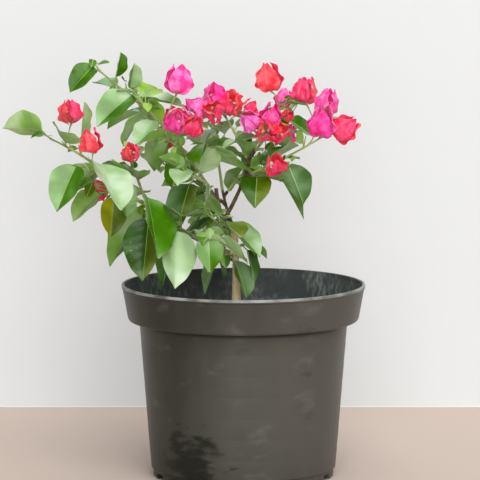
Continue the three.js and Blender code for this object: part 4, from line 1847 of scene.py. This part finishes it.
@dataclass
class Twigs:
    """Each shoot's stem, the short twigs in its leaf axils, its thorns and its tip."""

    clearance: Clearance
    leaf_model: LeafModel
    stems: Draft = field(default_factory=Draft)
    blades: Draft = field(default_factory=Draft)
    stream: int = 9000
    stem_sides: int = 10
    stem_step_mm: float = 1.6
    least_rings: int = 10
    overlap_mm: float = 1.2
    node_swelling: float = 0.28
    node_rings: float = 1.1
    twig_share: float = 0.62
    forwards: Range = (0.4, 1.2)
    upwards: Range = (0.2, 0.9)
    twig_length: Range = (6.0, 15.0)
    twig_sag: float = 0.06
    twig_leaves: int = 3
    twig_radii: Range = (0.85, 0.5)
    twig_rings: int = 7
    tip_length: float = 5.0
    tip_lift: float = 0.4
    tip_leaves: int = 2
    young_seeds: Range = (1, 90000)
    young_length: Range = (9.0, 17.0)
    young_droop: Range = (-0.4, 1.0)
    young_wave: float = 0.6
    thorn_length: Range = (4.0, 8.0)
    thorn_droop: float = 0.2
    thorn_bow: float = 0.12
    thorn_radius: float = 0.75
    thorn_power: float = 0.7
    thorn_point: float = 0.05
    thorn_sides: int = 6

    def stem(self, shoot: Shoot) -> None:
        """Add a shoot's stem, swollen at its nodes.

        Args:
            shoot: The shoot.
        """
        length = shoot.curve.length()
        rings = max(self.least_rings, int(length / self.stem_step_mm))
        stretch = (shoot.start - self.overlap_mm / length, 1)
        shares = np.linspace(*stretch, rings)
        centres, _ = shoot.curve.frames(shares)
        radii = shoot.radius(shares)
        for leaf in shoot.leaves:
            from_node = np.arange(rings) - np.argmin(np.linalg.norm(centres - leaf.root, axis=1))
            radii *= 1 + self.node_swelling * np.exp(-((from_node / self.node_rings) ** 2))
        self.stems.rod(shoot.curve, radii, self.stem_sides, stretch=stretch)

    def thorn(self, node: Array, out: Array, length: float) -> None:
        """Add a curved thorn.

        Args:
            node: Where it stands.
            out: The direction it points in.
            length: Its length.
        """
        tip = node + out * length - UP * self.thorn_droop * length
        curve = BowedCurve.bowed(node, tip, UP * self.thorn_bow * length)
        shares = np.linspace(0, 1, self.thorn_sides)
        radii = self.thorn_radius * (1 - shares) ** self.thorn_power + self.thorn_point
        self.stems.rod(curve, radii, self.thorn_sides)

    def grow(self, shoot: Shoot) -> None:
        """Grow a shoot's finer twigs and young leaves where they have room.

        Args:
            shoot: The shoot.
        """
        draw = SeededRandom(shoot.plan.seed + self.stream)
        name = shoot.plan.name
        tangent = shoot.curve.tangent(1)
        for leaf in shoot.leaves:
            away = unit(leaf.base - leaf.root)
            twig = draw.between(0, 1) < self.twig_share
            length = draw.between(*(self.twig_length if twig else self.thorn_length))
            lean = unit(away + draw.between(*self.forwards) * tangent + draw.between(*self.upwards) * UP)
            if not twig:
                self.thorn(leaf.root, lean, length)
                continue
            curve = BowedCurve.bowed(leaf.root, leaf.root + lean * length, UP * -self.twig_sag * length)
            self.young(name, curve, self.twig_leaves, draw)
        ahead = shoot.curve.point(1)
        end = ahead + unit(tangent + self.tip_lift * UP) * self.tip_length
        curve = BowedCurve.bowed(ahead - tangent, end, (0, 0, 0))
        self.young(name, curve, self.tip_leaves, draw)

    def young(self, owner: str, curve: BowedCurve, leaves: int, draw: SeededRandom) -> None:
        """Add one fine twig with its young leaves.

        Args:
            owner: The shoot it belongs to.
            curve: The twig's curve.
            leaves: How many leaves it has.
            draw: The shoot's stream for its finer growth.
        """
        seed = int(draw.between(*self.young_seeds))
        places = LeafRule().places(curve, leaves, draw.between(*self.young_length), self.young_droop, seed)
        outline = self.leaf_model.outline
        kept = []
        for place in places:
            if self.clearance.room(outline, place, owner):
                kept.append(place)
                self.clearance.add(owner, outline.rough(place, 0, petiole=False))
        if not kept:
            return
        self.stems.rod(curve, np.linspace(*self.twig_radii, self.twig_rings))
        for place in kept:
            green = YOUNG_GREENS[draw.choice(len(YOUNG_GREENS))]
            self.leaf_model.add(self.blades, place, GREENS.index(green), draw, self.young_wave)


# Blooms


PETALS = list(Petal)
CLUSTER_PETALS = (Petal.PALE, Petal.MAGENTA, Petal.ROSE)
SECOND_PETAL = {
    Petal.ROSE: Petal.CORAL,
    Petal.CORAL: Petal.ROSE,
    Petal.MAGENTA: Petal.PINK,
    Petal.PINK: Petal.MAGENTA,
    Petal.PALE: Petal.PINK,
}


@dataclass(frozen=True)
class FlowerModel:
    """A slim flower tube that ends in a small star."""

    profile: tuple[Range, ...] = ((0.0, 0.7), (0.2, 1.2), (0.6, 0.85), (0.9, 1.0), (1.0, 1.3))
    rings: int = 9
    bow: float = 0.04
    lobes: int = 5
    star_radii: tuple[float, ...] = (1.9, 1.5, 0.9, 1.5)
    star_lift: float = 0.6
    star_thickness: float = 0.3
    star_middle: float = 0.2

    def add(self, draft: Draft, foot: Array, axis: Array, length: float) -> None:
        """Add one flower.

        Args:
            draft: The piece it is added to.
            foot: Where it starts.
            axis: The direction it stands in.
            length: Its length.
        """
        curve = BowedCurve.bowed(foot, foot + axis * length, (0, 0, self.bow * length))
        radii = np.interp(np.linspace(0, 1, self.rings), *zip(*self.profile))
        draft.rod(curve, radii, finish=PETALS.index(Petal.TUBE))
        count = self.lobes * len(self.star_radii)
        around = circle(count)
        side, lift = curve.across(1)
        ahead = curve.tangent(1)
        rim = around[:, :1] * side + around[:, 1:] * lift
        tip = curve.point(1)
        top = tip + rim * np.tile(self.star_radii, self.lobes)[:, None] + ahead * self.star_lift
        low = top - ahead * self.star_thickness
        points = np.vstack([top, low, tip + ahead * self.star_middle, tip - ahead * self.star_middle])
        edges = [(i, (i + 1) % count) for i in range(count)]
        faces = [[here, after, 2 * count] for here, after in edges]
        faces += [[count + after, count + here, 2 * count + 1] for here, after in edges]
        faces += [[after, here, count + here, count + after] for here, after in edges]
        draft.add(points, faces, PETALS.index(Petal.STAR))


@dataclass(frozen=True)
class BloomModel:
    """A bloom's fine shape: three creased papery bracts, each with its flower, on one stalk."""

    shape: BractShape = BractShape()
    flower: FlowerModel = FlowerModel()
    stations: int = 22
    columns: int = 21
    stretch: Range = (0.012, 0.988)
    roundness: float = 1.62
    foot_power: float = 0.32
    tip_fullness: float = 1.8
    tip_power: float = 1.05
    height: float = 0.86
    foot: float = 0.04
    belly: float = 0.6
    belly_power: float = 0.5
    flare: float = 0.4
    flare_from: float = 0.5
    keel: float = 0.13
    # Each set of creases: its waves across and along the bract, in radians, and its height
    creases: tuple[Point, ...] = ((6.5, 1.5, 0.022), (11.0, -2.0, 0.011), (17.0, 3.0, 0.009))
    crease_power: float = 0.6
    ruffle: float = 0.055
    ruffle_turns: float = 2.3
    ruffle_lift: float = 0.3
    midline: float = 0.02
    midline_steepness: float = 5.0
    thickness: float = 0.35
    stalk_profile: tuple[Range, ...] = ((0.0, 0.6), (0.85, 0.5), (1.0, 1.1))
    stalk_rings: int = 12
    cluster_from: float = 38.0
    cluster_scale: float = 0.66
    cluster_lean: float = 0.5
    cluster_turn: float = 0.4
    cluster_ahead: float = 0.16
    cluster_apart: float = 0.2
    flower_share: float = 0.42
    flower_lean: float = 0.22
    flower_apart: float = 0.8

    def half_width(self, share: Array, length: float) -> Array:
        """Give a bract's half widths: broad near its foot and drawn to a point."""
        tip = (1 - share**self.tip_fullness) ** self.tip_power
        return self.shape.width / 2 * length * self.roundness * share**self.foot_power * tip

    def spine(self, place: BractPlace, share: Array) -> Array:
        """Give a bract's middle line, which bulges like a lantern and closes towards its tip.

        Args:
            place: Where the bract sits.
            share: The share of the way to its tip.

        Returns:
            The points.
        """
        along = np.asarray(share)[:, None]
        lean = float(place.axis @ place.out)
        ahead = unit(place.axis - lean * place.out)
        bulge = self.belly * along**self.belly_power * (1 - along)
        out = self.foot + bulge + self.flare * (lean - self.flare_from) * along**3
        return place.start + place.length * (self.height * along * ahead + out * place.out)

    def rise(self, share: Array, across: Array, half: Array, length: float, draw: SeededRandom) -> Array:
        """Work out how a bract's face rises: keeled, creased, ruffled at its margin, with a sunk midline.

        Args:
            share: The share of the way to its tip.
            across: The share of the way across it, from -1 to 1.
            half: Its half width.
            length: Its length.
            draw: The stream its creases are drawn from.

        Returns:
            The rise of each point.
        """
        first, second, right, left, third = (draw.between(0, 2 * math.pi) for _ in range(5))
        swell = np.sin(math.pi * share) ** self.crease_power
        creases = 0.0
        for (wide, long, height), phase in zip(self.creases, (first, second, third)):
            creases += height * np.sin(wide * across + phase + long * share)
        waves = np.sin(2 * math.pi * self.ruffle_turns * share + np.where(across > 0, right, left))
        ruffles = self.ruffle * (waves + self.ruffle_lift) * np.abs(across) ** 3
        midline = self.midline * np.maximum(0, 1 - self.midline_steepness * np.abs(across)) * swell
        return length * (creases * swell + ruffles - midline) - self.keel * half * across**2

    def bract(self, draft: Draft, place: BractPlace, petal: int, draw: SeededRandom) -> None:
        """Add one bract.

        Args:
            draft: The piece it is added to.
            place: Where it sits.
            petal: Its finish.
            draw: The stream its creases are drawn from.
        """
        share = np.linspace(*self.stretch, self.stations)[:, None]
        across = np.linspace(-1, 1, self.columns)
        half = self.half_width(share, place.length)
        rise = self.rise(share, across, half, place.length, draw)
        side = np.cross(place.axis, place.normal)
        spine = self.spine(place, share[:, 0])
        tangent = np.gradient(spine, axis=0)
        normal = np.cross(side, tangent / np.linalg.norm(tangent, axis=1, keepdims=True))[:, None]
        top = spine[:, None] + (half * across)[..., None] * side + rise[..., None] * normal
        rings = np.concatenate([top, (top - self.thickness * normal)[:, ::-1]], 1)
        draft.add(rings, grid_faces(self.stations, rings.shape[1], wrapped=True), petal)
        draft.fan(rings[0], self.spine(place, np.array([0.0])), petal)
        draft.fan(rings[-1], self.spine(place, np.array([1.0])), petal, flipped=True)

    def cluster(self, bloom: Bloom) -> list[Bloom]:
        """Split a large bloom into the three that grow together on one stalk.

        Args:
            bloom: The large bloom.

        Returns:
            The three blooms.
        """
        made = []
        foot, length = bloom.stalk.end, bloom.plan.length
        for i, petal in enumerate(CLUSTER_PETALS):
            out = bloom.outwards(self.cluster_turn + i * 2 * math.pi / len(CLUSTER_PETALS))
            end = foot + length * (self.cluster_ahead * bloom.axis + self.cluster_apart * out)
            plan = replace(bloom.plan, length=length * self.cluster_scale, petal=petal)
            stalk = BowedCurve.bowed(foot, end, (0, 0, 0))
            axis = unit(bloom.axis + self.cluster_lean * out)
            made.append(Bloom(plan, stalk, axis, bloom.first_turn + 2 * i, bloom.openings))
        return made

    def add(self, draft: Draft, bloom: Bloom, draw: SeededRandom) -> None:
        """Add one bloom with its stalk.

        Args:
            draft: The piece it is added to.
            bloom: The bloom.
            draw: The stream its creases are drawn from.
        """
        radii = np.interp(np.linspace(0, 1, self.stalk_rings), *zip(*self.stalk_profile))
        draft.rod(bloom.stalk, radii, finish=PETALS.index(Petal.STALK))
        if bloom.plan.length >= self.cluster_from:
            for part in self.cluster(bloom):
                self.add(draft, part, draw)
            return
        for i, (turn, opening) in enumerate(bloom.bracts()):
            petal = bloom.plan.petal if i else SECOND_PETAL[bloom.plan.petal]
            self.bract(draft, self.shape.place(bloom, turn, opening), PETALS.index(petal), draw)
            out = bloom.outwards(turn)
            foot = bloom.stalk.end + out * self.flower_apart
            lean = unit(bloom.axis + self.flower_lean * out)
            self.flower.add(draft, foot, lean, bloom.plan.length * self.flower_share)


@dataclass
class Foliage:
    """All the shoots: their twigs, leaves and blooms, joined by kind on each bough."""

    shoots: list[Shoot]
    clearance: Clearance
    leaf_model: LeafModel = LeafModel()
    bloom_model: BloomModel = BloomModel()
    leaf_stream: int = 12000
    leaf_sharp_deg: float = 50.0
    bract_sharp_deg: float = 60.0

    def build(self) -> None:
        """Make the pieces of each bough's shoots."""
        boughs: dict[str, list[Shoot]] = {}
        for shoot in self.shoots:
            boughs.setdefault(shoot.plan.parent, []).append(shoot)
        for bough, shoots in boughs.items():
            self.dress(bough, shoots)

    def dress(self, bough: str, shoots: list[Shoot]) -> None:
        """Make the pieces of one bough's shoots.

        Args:
            bough: The bough.
            shoots: Its shoots.
        """
        twigs = Twigs(self.clearance, self.leaf_model)
        blossom = Draft()
        for shoot in shoots:
            draw = SeededRandom(shoot.plan.seed + self.leaf_stream)
            twigs.stem(shoot)
            for i, place in enumerate(shoot.leaves):
                green = shoot.plan.greens[i % len(shoot.plan.greens)]
                self.leaf_model.add(twigs.blades, place, GREENS.index(green), draw)
            for bloom in shoot.blooms:
                self.bloom_model.add(blossom, bloom, draw)
            twigs.grow(shoot)
        names = [shoot.plan.name for shoot in shoots]
        flowering = [shoot.plan.name for shoot in shoots if shoot.blooms]
        greens = [green.value for green in GREENS]
        publish(twigs.stems.piece(f"{bough}_twigs", [Green.SHOOT.value]), names)
        publish(twigs.blades.piece(f"{bough}_leaves", greens, self.leaf_sharp_deg), names)
        if flowering:
            petals = [petal.value for petal in PETALS]
            publish(blossom.piece(f"{bough}_blooms", petals, self.bract_sharp_deg), flowering)


# Pot and soil


class PotFinish(IntEnum):
    """The pot's finishes, in the order of its materials."""

    PLASTIC = 0
    LIP = 1
    LIMED = 2


@dataclass(frozen=True)
class Corner:
    """A corner of the pot's profile, rounded, with the finish of the stretch after it."""

    radius: float
    height: float
    rounding: float = 0.0
    finish: PotFinish = PotFinish.PLASTIC


def rounded(corners: list[Corner], steps: int = 5) -> tuple[Array, list[PotFinish]]:
    """Round the corners of a profile.

    Args:
        corners: The corners.
        steps: How many points a rounded corner has.

    Returns:
        The profile's points, and the finish of the stretch after each.
    """
    points: list[Array] = []
    finishes: list[PotFinish] = []
    for i, corner in enumerate(corners):
        here = np.array([corner.radius, corner.height])
        if corner.rounding == 0 or i in (0, len(corners) - 1):
            points.append(here)
            finishes.append(corner.finish)
            continue
        before = np.array([corners[i - 1].radius, corners[i - 1].height])
        after = np.array([corners[i + 1].radius, corners[i + 1].height])
        start = here + unit(before - here) * corner.rounding
        end = here + unit(after - here) * corner.rounding
        bend = BowedCurve(start, here, end)
        points += [bend.point(share) for share in np.linspace(0, 1, steps)]
        finishes += [corner.finish] * steps
    return np.array(points), finishes


@dataclass
class NurseryPot:
    """The moulded pot: broad collar, rolled lip, stepped foot and drain notches."""

    height: float = 192.0
    rim_radius: float = 121.0
    collar_height: float = 36.0
    collar_foot_radius: float = 114.5
    body_top_radius: float = 103.5
    body_foot_radius: float = 91.8
    foot_radius: float = 89.5
    foot_height: float = 8.0
    wall: float = 2.4
    floor: float = 2.6
    lip_height: float = 3.6
    lip_width: float = 0.9
    # How far down from the top the lip's painted highlight reaches
    painted_highlight_height: float = 2.4
    inside_floor: float = 12.5
    ring_spacing: float = 21.0
    ring_depth: float = 0.06
    notches: int = 8
    notch_width: float = 15.0
    notch_height: float = 5.5
    notch_reach: float = 16.0
    notch_rounding: float = 1.6
    notch_steps: int = 6
    sides: int = 224
    sharp_deg: float = 32.0
    underside_ring: float = 60.0
    foot_lean: float = 0.4
    foot_step: float = 1.0
    ring_half_height: float = 0.9
    plain_under_collar: float = 10.0
    lip_shadow: float = 0.7
    collar_tuck: float = 0.2
    inside_step: float = 3.0
    inside_rise: float = 5.0

    def outside(self, height: float) -> float:
        """Give the body's outside radius at a height, in millimetres."""
        share = (height - self.foot_height) / (self.height - self.collar_height - self.foot_height)
        return self.body_foot_radius + (self.body_top_radius - self.body_foot_radius) * share

    def body_rings(self) -> list[Corner]:
        """List the corners of the faint rings round the body, from the lowest up.

        Returns:
            The corners.
        """
        listed = []
        height = self.foot_height + self.ring_spacing
        while height < self.height - self.collar_height - self.plain_under_collar:
            radius = self.outside(height)
            listed.append(Corner(radius, height - self.ring_half_height))
            listed.append(Corner(radius - self.ring_depth, height))
            listed.append(Corner(radius, height + self.ring_half_height))
            height += self.ring_spacing
        return listed

    def corners(self) -> list[Corner]:
        """List the profile's corners, from the underside's middle out, up and back inside.

        Returns:
            The corners.
        """
        collar = self.height - self.collar_height
        lip = self.height - self.lip_height
        below = collar - self.inside_step
        rim = self.rim_radius - self.lip_width
        inside = rim - self.wall
        floor_edge = self.outside(self.inside_floor) - self.wall
        return [
            Corner(0, 0),
            Corner(self.underside_ring, 0),
            Corner(self.foot_radius, 0, 0.8),
            Corner(self.foot_radius + self.foot_lean, self.foot_height, 0.4),
            Corner(self.body_foot_radius, self.foot_height + self.foot_step, 0.6),
            *self.body_rings(),
            Corner(self.body_top_radius, collar, 0.8),
            Corner(self.collar_foot_radius - self.collar_tuck, collar, 3.4),
            Corner(rim, lip - self.lip_shadow, 0.4),
            Corner(self.rim_radius, lip, 0.5),
            # From here up, the lip takes its painted highlight
            Corner(self.rim_radius, self.height - self.painted_highlight_height, 0.0, PotFinish.LIP),
            Corner(self.rim_radius, self.height, 0.9, PotFinish.LIP),
            Corner(inside, self.height, 0.9, PotFinish.LIMED),
            Corner(inside, lip, 0.6, PotFinish.LIMED),
            Corner(self.collar_foot_radius - self.wall, collar + self.inside_rise, 2.0, PotFinish.LIMED),
            Corner(self.outside(below) - self.wall, below, 2.0, PotFinish.LIMED),
            Corner(floor_edge, self.inside_floor, 1.0, PotFinish.LIMED),
            Corner(self.foot_radius - 2 * self.wall, self.floor, 1.0, PotFinish.LIMED),
            Corner(0, self.floor),
        ]

    def shell(self) -> Draft:
        """Draft the turned shell.

        Returns:
            Its mesh.
        """
        profile, finishes = rounded(self.corners())
        profile, finishes = profile[1:-1], finishes[1:-1]
        flat = profile[:, 0][:, None, None] * circle(self.sides)
        height = np.broadcast_to(profile[:, 1][:, None, None], (*flat.shape[:2], 1))
        points = np.concatenate([flat, height], -1)
        draft = Draft()
        faces = grid_faces(len(profile), self.sides, wrapped=True)
        draft.add(points, faces, np.repeat(finishes[:-1], self.sides))
        draft.fan(points[0], np.zeros(3), PotFinish.PLASTIC, flipped=True)
        draft.fan(points[-1], self.floor * UP, PotFinish.LIMED)
        return draft

    def cutter(self) -> bpy.types.Object:
        """Make the solid that cuts the drain notches.

        Returns:
            The object.
        """
        half, top, rounding = self.notch_width / 2, self.notch_height, self.notch_rounding
        left = [Corner(-half, -1), Corner(-half, top, rounding)]
        outline, _ = rounded([*left, Corner(half, top, rounding), Corner(half, -1)], self.notch_steps)
        reach = self.notch_reach / 2
        count = len(outline)
        draft = Draft()
        for i in range(self.notches):
            turn = (i + 0.5) / self.notches * 2 * math.pi
            out = np.array([math.cos(turn), math.sin(turn), 0])
            side = np.array([-out[1], out[0], 0])
            face = outline[:, :1] * side + outline[:, 1:] * UP
            ends = np.stack([face + out * (self.foot_radius + away) for away in (-reach, reach)])
            draft.add(ends, grid_faces(2, count, wrapped=True), 0)
            draft.add(ends, [list(range(count))[::-1], list(range(count, 2 * count))], 0)
        return draft.piece("notch_cutter", [])

    def build(self) -> None:
        """Make the pot's piece."""
        piece = self.shell().piece("nursery_pot", [PlasticFinish(), LipFinish(), LimedFinish()])
        cutter = self.cutter()
        for made in (piece, cutter):
            close(made)
        cut = piece.modifiers.new("notches", "BOOLEAN")
        cut.object = cutter
        cut.operation = "DIFFERENCE"
        cut.solver = "EXACT"
        apply(piece)
        bpy.data.objects.remove(cutter)
        piece.data.set_sharp_from_angle(angle=math.radians(self.sharp_deg))
        publish(piece, ["pot"])


def close(piece: bpy.types.Object) -> None:
    """Join a piece's doubled points and turn its faces outwards.

    Args:
        piece: The object.
    """
    mesh = bmesh.new()
    mesh.from_mesh(piece.data)
    bmesh.ops.remove_doubles(mesh, verts=mesh.verts, dist=1e-6)
    bmesh.ops.recalc_face_normals(mesh, faces=mesh.faces)
    mesh.to_mesh(piece.data)
    mesh.free()


def apply(piece: bpy.types.Object) -> None:
    """Apply a piece's modifiers.

    Args:
        piece: The object.
    """
    graph = bpy.context.evaluated_depsgraph_get()
    mesh = bpy.data.meshes.new_from_object(piece.evaluated_get(graph))
    piece.modifiers.clear()
    piece.data = mesh


CUBE = np.array([[x, y, z] for x in (-1, 1) for y in (-1, 1) for z in (-1, 1)], float)
CUBE_FACES = [[0, 1, 3, 2], [4, 6, 7, 5], [0, 4, 5, 1], [2, 3, 7, 6], [0, 2, 6, 4], [1, 5, 7, 3]]
CRUMB_FINISHES = (
    CompostFinish("dark_crumb", (0.03, 0.02, 0.012), (0.08, 0.05, 0.03)),
    CompostFinish("brown_crumb", (0.08, 0.05, 0.028), (0.16, 0.1, 0.06)),
    CompostFinish("pale_crumb", (0.17, 0.12, 0.075), (0.3, 0.22, 0.15)),
)


@dataclass
class Soil:
    """The compost: a low mound with an uneven top, strewn with bark crumbs."""

    pot: NurseryPot
    level: float = SOIL_LEVEL
    bottom: float = 12.8
    edge_drop: float = 5.0
    flat_radius: float = 24.0
    shoulder: float = 0.72
    shoulder_drop: float = 0.45
    clear: float = 0.3
    first_ring: float = 0.02
    rings: int = 64
    sides: int = 160
    unevenness: float = 1.1
    lump_mm: float = 14.0
    small_lump_mm: float = 5.0
    small_lump: float = 0.5
    lump_level: float = 0.4
    chips: int = 900
    chips_clear: float = 5.0
    chips_middle: float = 0.012
    chip_size: Range = (1.6, 5.2)
    chip_smaller: Range = (0.5, 1.0)
    chip_width: Range = (0.35, 0.8)
    chip_height: Range = (0.2, 0.5)
    chip_tilt: Range = (-0.5, 0.5)
    chip_turn: Range = (0.0, 6.3)
    chip_corner: Range = (0.55, 1.0)
    chip_raised: float = 0.3
    chip_sharp_deg: float = 30.0
    seed: int = 4124

    def reach(self, height: float, clear: float) -> float:
        """Give how far the inside of the pot reaches at a height, less a clearance."""
        return self.pot.outside(height) - self.pot.wall - clear

    def height(self, radius: float, x: float, y: float) -> float:
        """Give the mound's height at a place.

        Args:
            radius: How far it is from the pot's axis.
            x: The place's x.
            y: The place's y.

        Returns:
            The height.
        """
        edge = self.level - self.edge_drop
        outer = self.reach(edge, self.clear)
        stops = [self.flat_radius, outer * self.shoulder, outer]
        levels = [self.level, self.level - self.edge_drop * self.shoulder_drop, edge]
        lumps = noise.noise(Vector((x, y, 0)) / self.lump_mm)
        lumps += self.small_lump * noise.noise(Vector((x, y, 40)) / self.small_lump_mm)
        return float(np.interp(radius, stops, levels)) + self.unevenness * (lumps - self.lump_level)

    def mound(self) -> Draft:
        """Draft the mound, closed below.

        Returns:
            Its mesh.
        """
        outer = self.reach(self.level - self.edge_drop, self.clear)
        foot = self.reach(self.bottom, self.clear)
        around = circle(self.sides)
        rows = []
        for radius in outer * np.linspace(self.first_ring, 1, self.rings):
            rows.append([[x, y, self.height(radius, x, y)] for x, y in radius * around])
        rows.append([[x, y, self.bottom] for x, y in foot * around])
        points = np.array(rows)
        draft = Draft()
        draft.add(points, grid_faces(len(rows), self.sides, wrapped=True)[:, ::-1], 0)
        draft.fan(points[0], points[0].mean(0), 0)
        draft.fan(points[-1], points[-1].mean(0), 0, flipped=True)
        return draft

    def crumbs(self) -> Draft:
        """Draft the bark crumbs on the mound.

        Returns:
            Their mesh.
        """
        draw = SeededRandom(self.seed)
        outer = self.reach(self.level - self.edge_drop, self.chips_clear)
        draft = Draft()
        for _ in range(self.chips):
            radius = outer * math.sqrt(draw.between(self.chips_middle, 1))
            turn = draw.between(0, 2 * math.pi)
            size = draw.between(*self.chip_size) * draw.between(*self.chip_smaller)
            x, y = radius * math.cos(turn), radius * math.sin(turn)
            width, height = size * draw.between(*self.chip_width), size * draw.between(*self.chip_height)
            tilt = [draw.between(*ends) for ends in (self.chip_tilt, self.chip_tilt, self.chip_turn)]
            corners = np.array([[draw.between(*self.chip_corner) for _ in range(3)] for _ in CUBE])
            shape = (CUBE * [size, width, height] * corners) @ np.array(Euler(tilt).to_matrix()).T
            place = np.array([x, y, self.height(radius, x, y) + self.chip_raised * height])
            draft.add(shape + place, CUBE_FACES, draw.choice(len(CRUMB_FINISHES)))
        return draft

    def build(self) -> None:
        """Make the soil's pieces."""
        piece = self.mound().piece("compost_mound", [CompostFinish("moist_compost")])
        publish(piece, ["soil"])
        publish(self.crumbs().piece("bark_crumbs", CRUMB_FINISHES, self.chip_sharp_deg), ["soil"])


# Studio


@dataclass(frozen=True)
class Lamp:
    """One soft area light: where it stands, its side, its power and its colour."""

    name: str
    place: Point
    side_mm: float
    watts: float
    colour: Colour


LAMPS = (
    Lamp("key_light", (1000, -4300, 4900), 3600, 225, (1.0, 0.99, 0.975)),
    Lamp("front_light", (60, -3700, 1150), 2000, 80, (0.98, 0.99, 1.0)),
    Lamp("top_light", (100, -600, 3600), 2400, 45, (0.97, 0.99, 1.0)),
    Lamp("back_light", (-900, 2600, 3000), 1600, 30, (0.97, 0.99, 1.0)),
)


@dataclass
class Studio:
    """A plain pale floor and wall, soft light from the upper right, and the camera."""

    eye: Point = (-3.37, -4000.0, 739.93)
    target: Point = (-3.37, 0.0, 235.6)
    lens_mm: float = 304.8
    sensor_mm: float = 36.0
    view_m: float = 20.0
    wall_distance: float = 403.0
    wall_height: float = 800.0
    wall_lift: float = 0.2
    wall_reach: float = 1900.0
    cove: float = 1.0
    cove_steps: int = 10
    floor_reach: float = 6000.0
    floor_colour: Colour = (0.59, 0.48, 0.415)
    wall_colour: Colour = (0.715, 0.733, 0.737)
    sky_colour: Colour = (0.86, 0.94, 1.0)
    sky_strength: float = 0.22

    def stage(self, name: str, profile: Array, reach: float, finish: StageFinish) -> None:
        """Add a stage surface swept along X.

        Args:
            name: Its name.
            profile: Its line in depth and height.
            reach: How far it goes to either side.
            finish: Its finish.
        """
        ends = [np.column_stack([np.full(len(profile), x), profile]) for x in (-reach, reach)]
        draft = Draft()
        draft.add(np.stack(ends, 1), grid_faces(len(profile), 2), 0)
        draft.piece(name, [finish])

    def surroundings(self) -> None:
        """Make the floor and the wall with its cove."""
        turn = np.linspace(0, math.pi / 2, self.cove_steps)
        bend = np.column_stack([np.sin(turn), 1 - np.cos(turn)]) * self.cove
        foot = [self.wall_distance - self.cove, self.wall_lift]
        floor = np.array([[-self.floor_reach, 0], [self.floor_reach, 0]])
        wall = np.vstack([bend + foot, [[self.wall_distance, self.wall_height]]])
        self.stage("studio_floor", floor, self.floor_reach, StageFinish("floor_finish", self.floor_colour))
        self.stage("studio_wall", wall, self.wall_reach, StageFinish("wall_finish", self.wall_colour, True))

    def stand(self, name: str, data: bpy.types.ID, place: Point) -> bpy.types.Object:
        """Stand a light or the camera at a place, aimed at the bush.

        Args:
            name: Its name.
            data: The light or camera.
            place: Where it stands.

        Returns:
            Its object.
        """
        made = bpy.data.objects.new(name, data)
        made.location = Vector(place) * MM
        line = Vector(self.target) * MM - made.location
        made.rotation_euler = line.to_track_quat("-Z", "Y").to_euler()
        bpy.context.scene.collection.objects.link(made)
        return made

    def sky(self) -> None:
        """Set the faint light that comes from all round, and how colours are shown."""
        world = bpy.data.worlds.new("soft_sky")
        world.use_nodes = True
        background = world.node_tree.nodes["Background"]
        background.inputs["Color"].default_value = (*self.sky_colour, 1.0)
        background.inputs["Strength"].default_value = self.sky_strength
        bpy.context.scene.world = world
        bpy.context.scene.view_settings.view_transform = "Standard"

    def build(self) -> None:
        """Set the stage, the lights, the sky and the camera."""
        self.surroundings()
        for lamp in LAMPS:
            light = bpy.data.lights.new(lamp.name, "AREA")
            light.size = lamp.side_mm * MM
            light.energy = lamp.watts
            light.color = lamp.colour
            self.stand(lamp.name, light, lamp.place)
        self.sky()
        lens = bpy.data.cameras.new("photo_view")
        lens.lens = self.lens_mm
        lens.sensor_width = self.sensor_mm
        lens.clip_end = self.view_m
        bpy.context.scene.camera = self.stand("photo_view", lens, self.eye)


def solid_of(name: str) -> Shape:
    """Read one CAD node's shape, in millimetres.

    Args:
        name: The node's name.

    Returns:
        Its points and faces.
    """
    mesh = bpy.data.objects[name].data
    points = np.array([vertex.co for vertex in mesh.vertices]) / MM
    return points, [list(face.vertices) for face in mesh.polygons]


def main() -> None:
    """Load the frame, grow the bush in its pot, and set the studio."""
    logging.basicConfig(level=logging.INFO, format="%(message)s")
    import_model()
    pot = NurseryPot()
    pot.build()
    Soil(pot).build()
    limbs = lay_out_limbs(LIMBS)
    shoots = lay_out_shoots(SHOOTS, limbs)
    clearance = before_leaves(shoots, limbs, [solid_of("pot"), solid_of("soil")])
    grow_leaves(shoots, clearance)
    Limbs(limbs).build()
    Foliage(shoots, clearance).build()
    Studio().build()


if __name__ == "__main__":
    main()
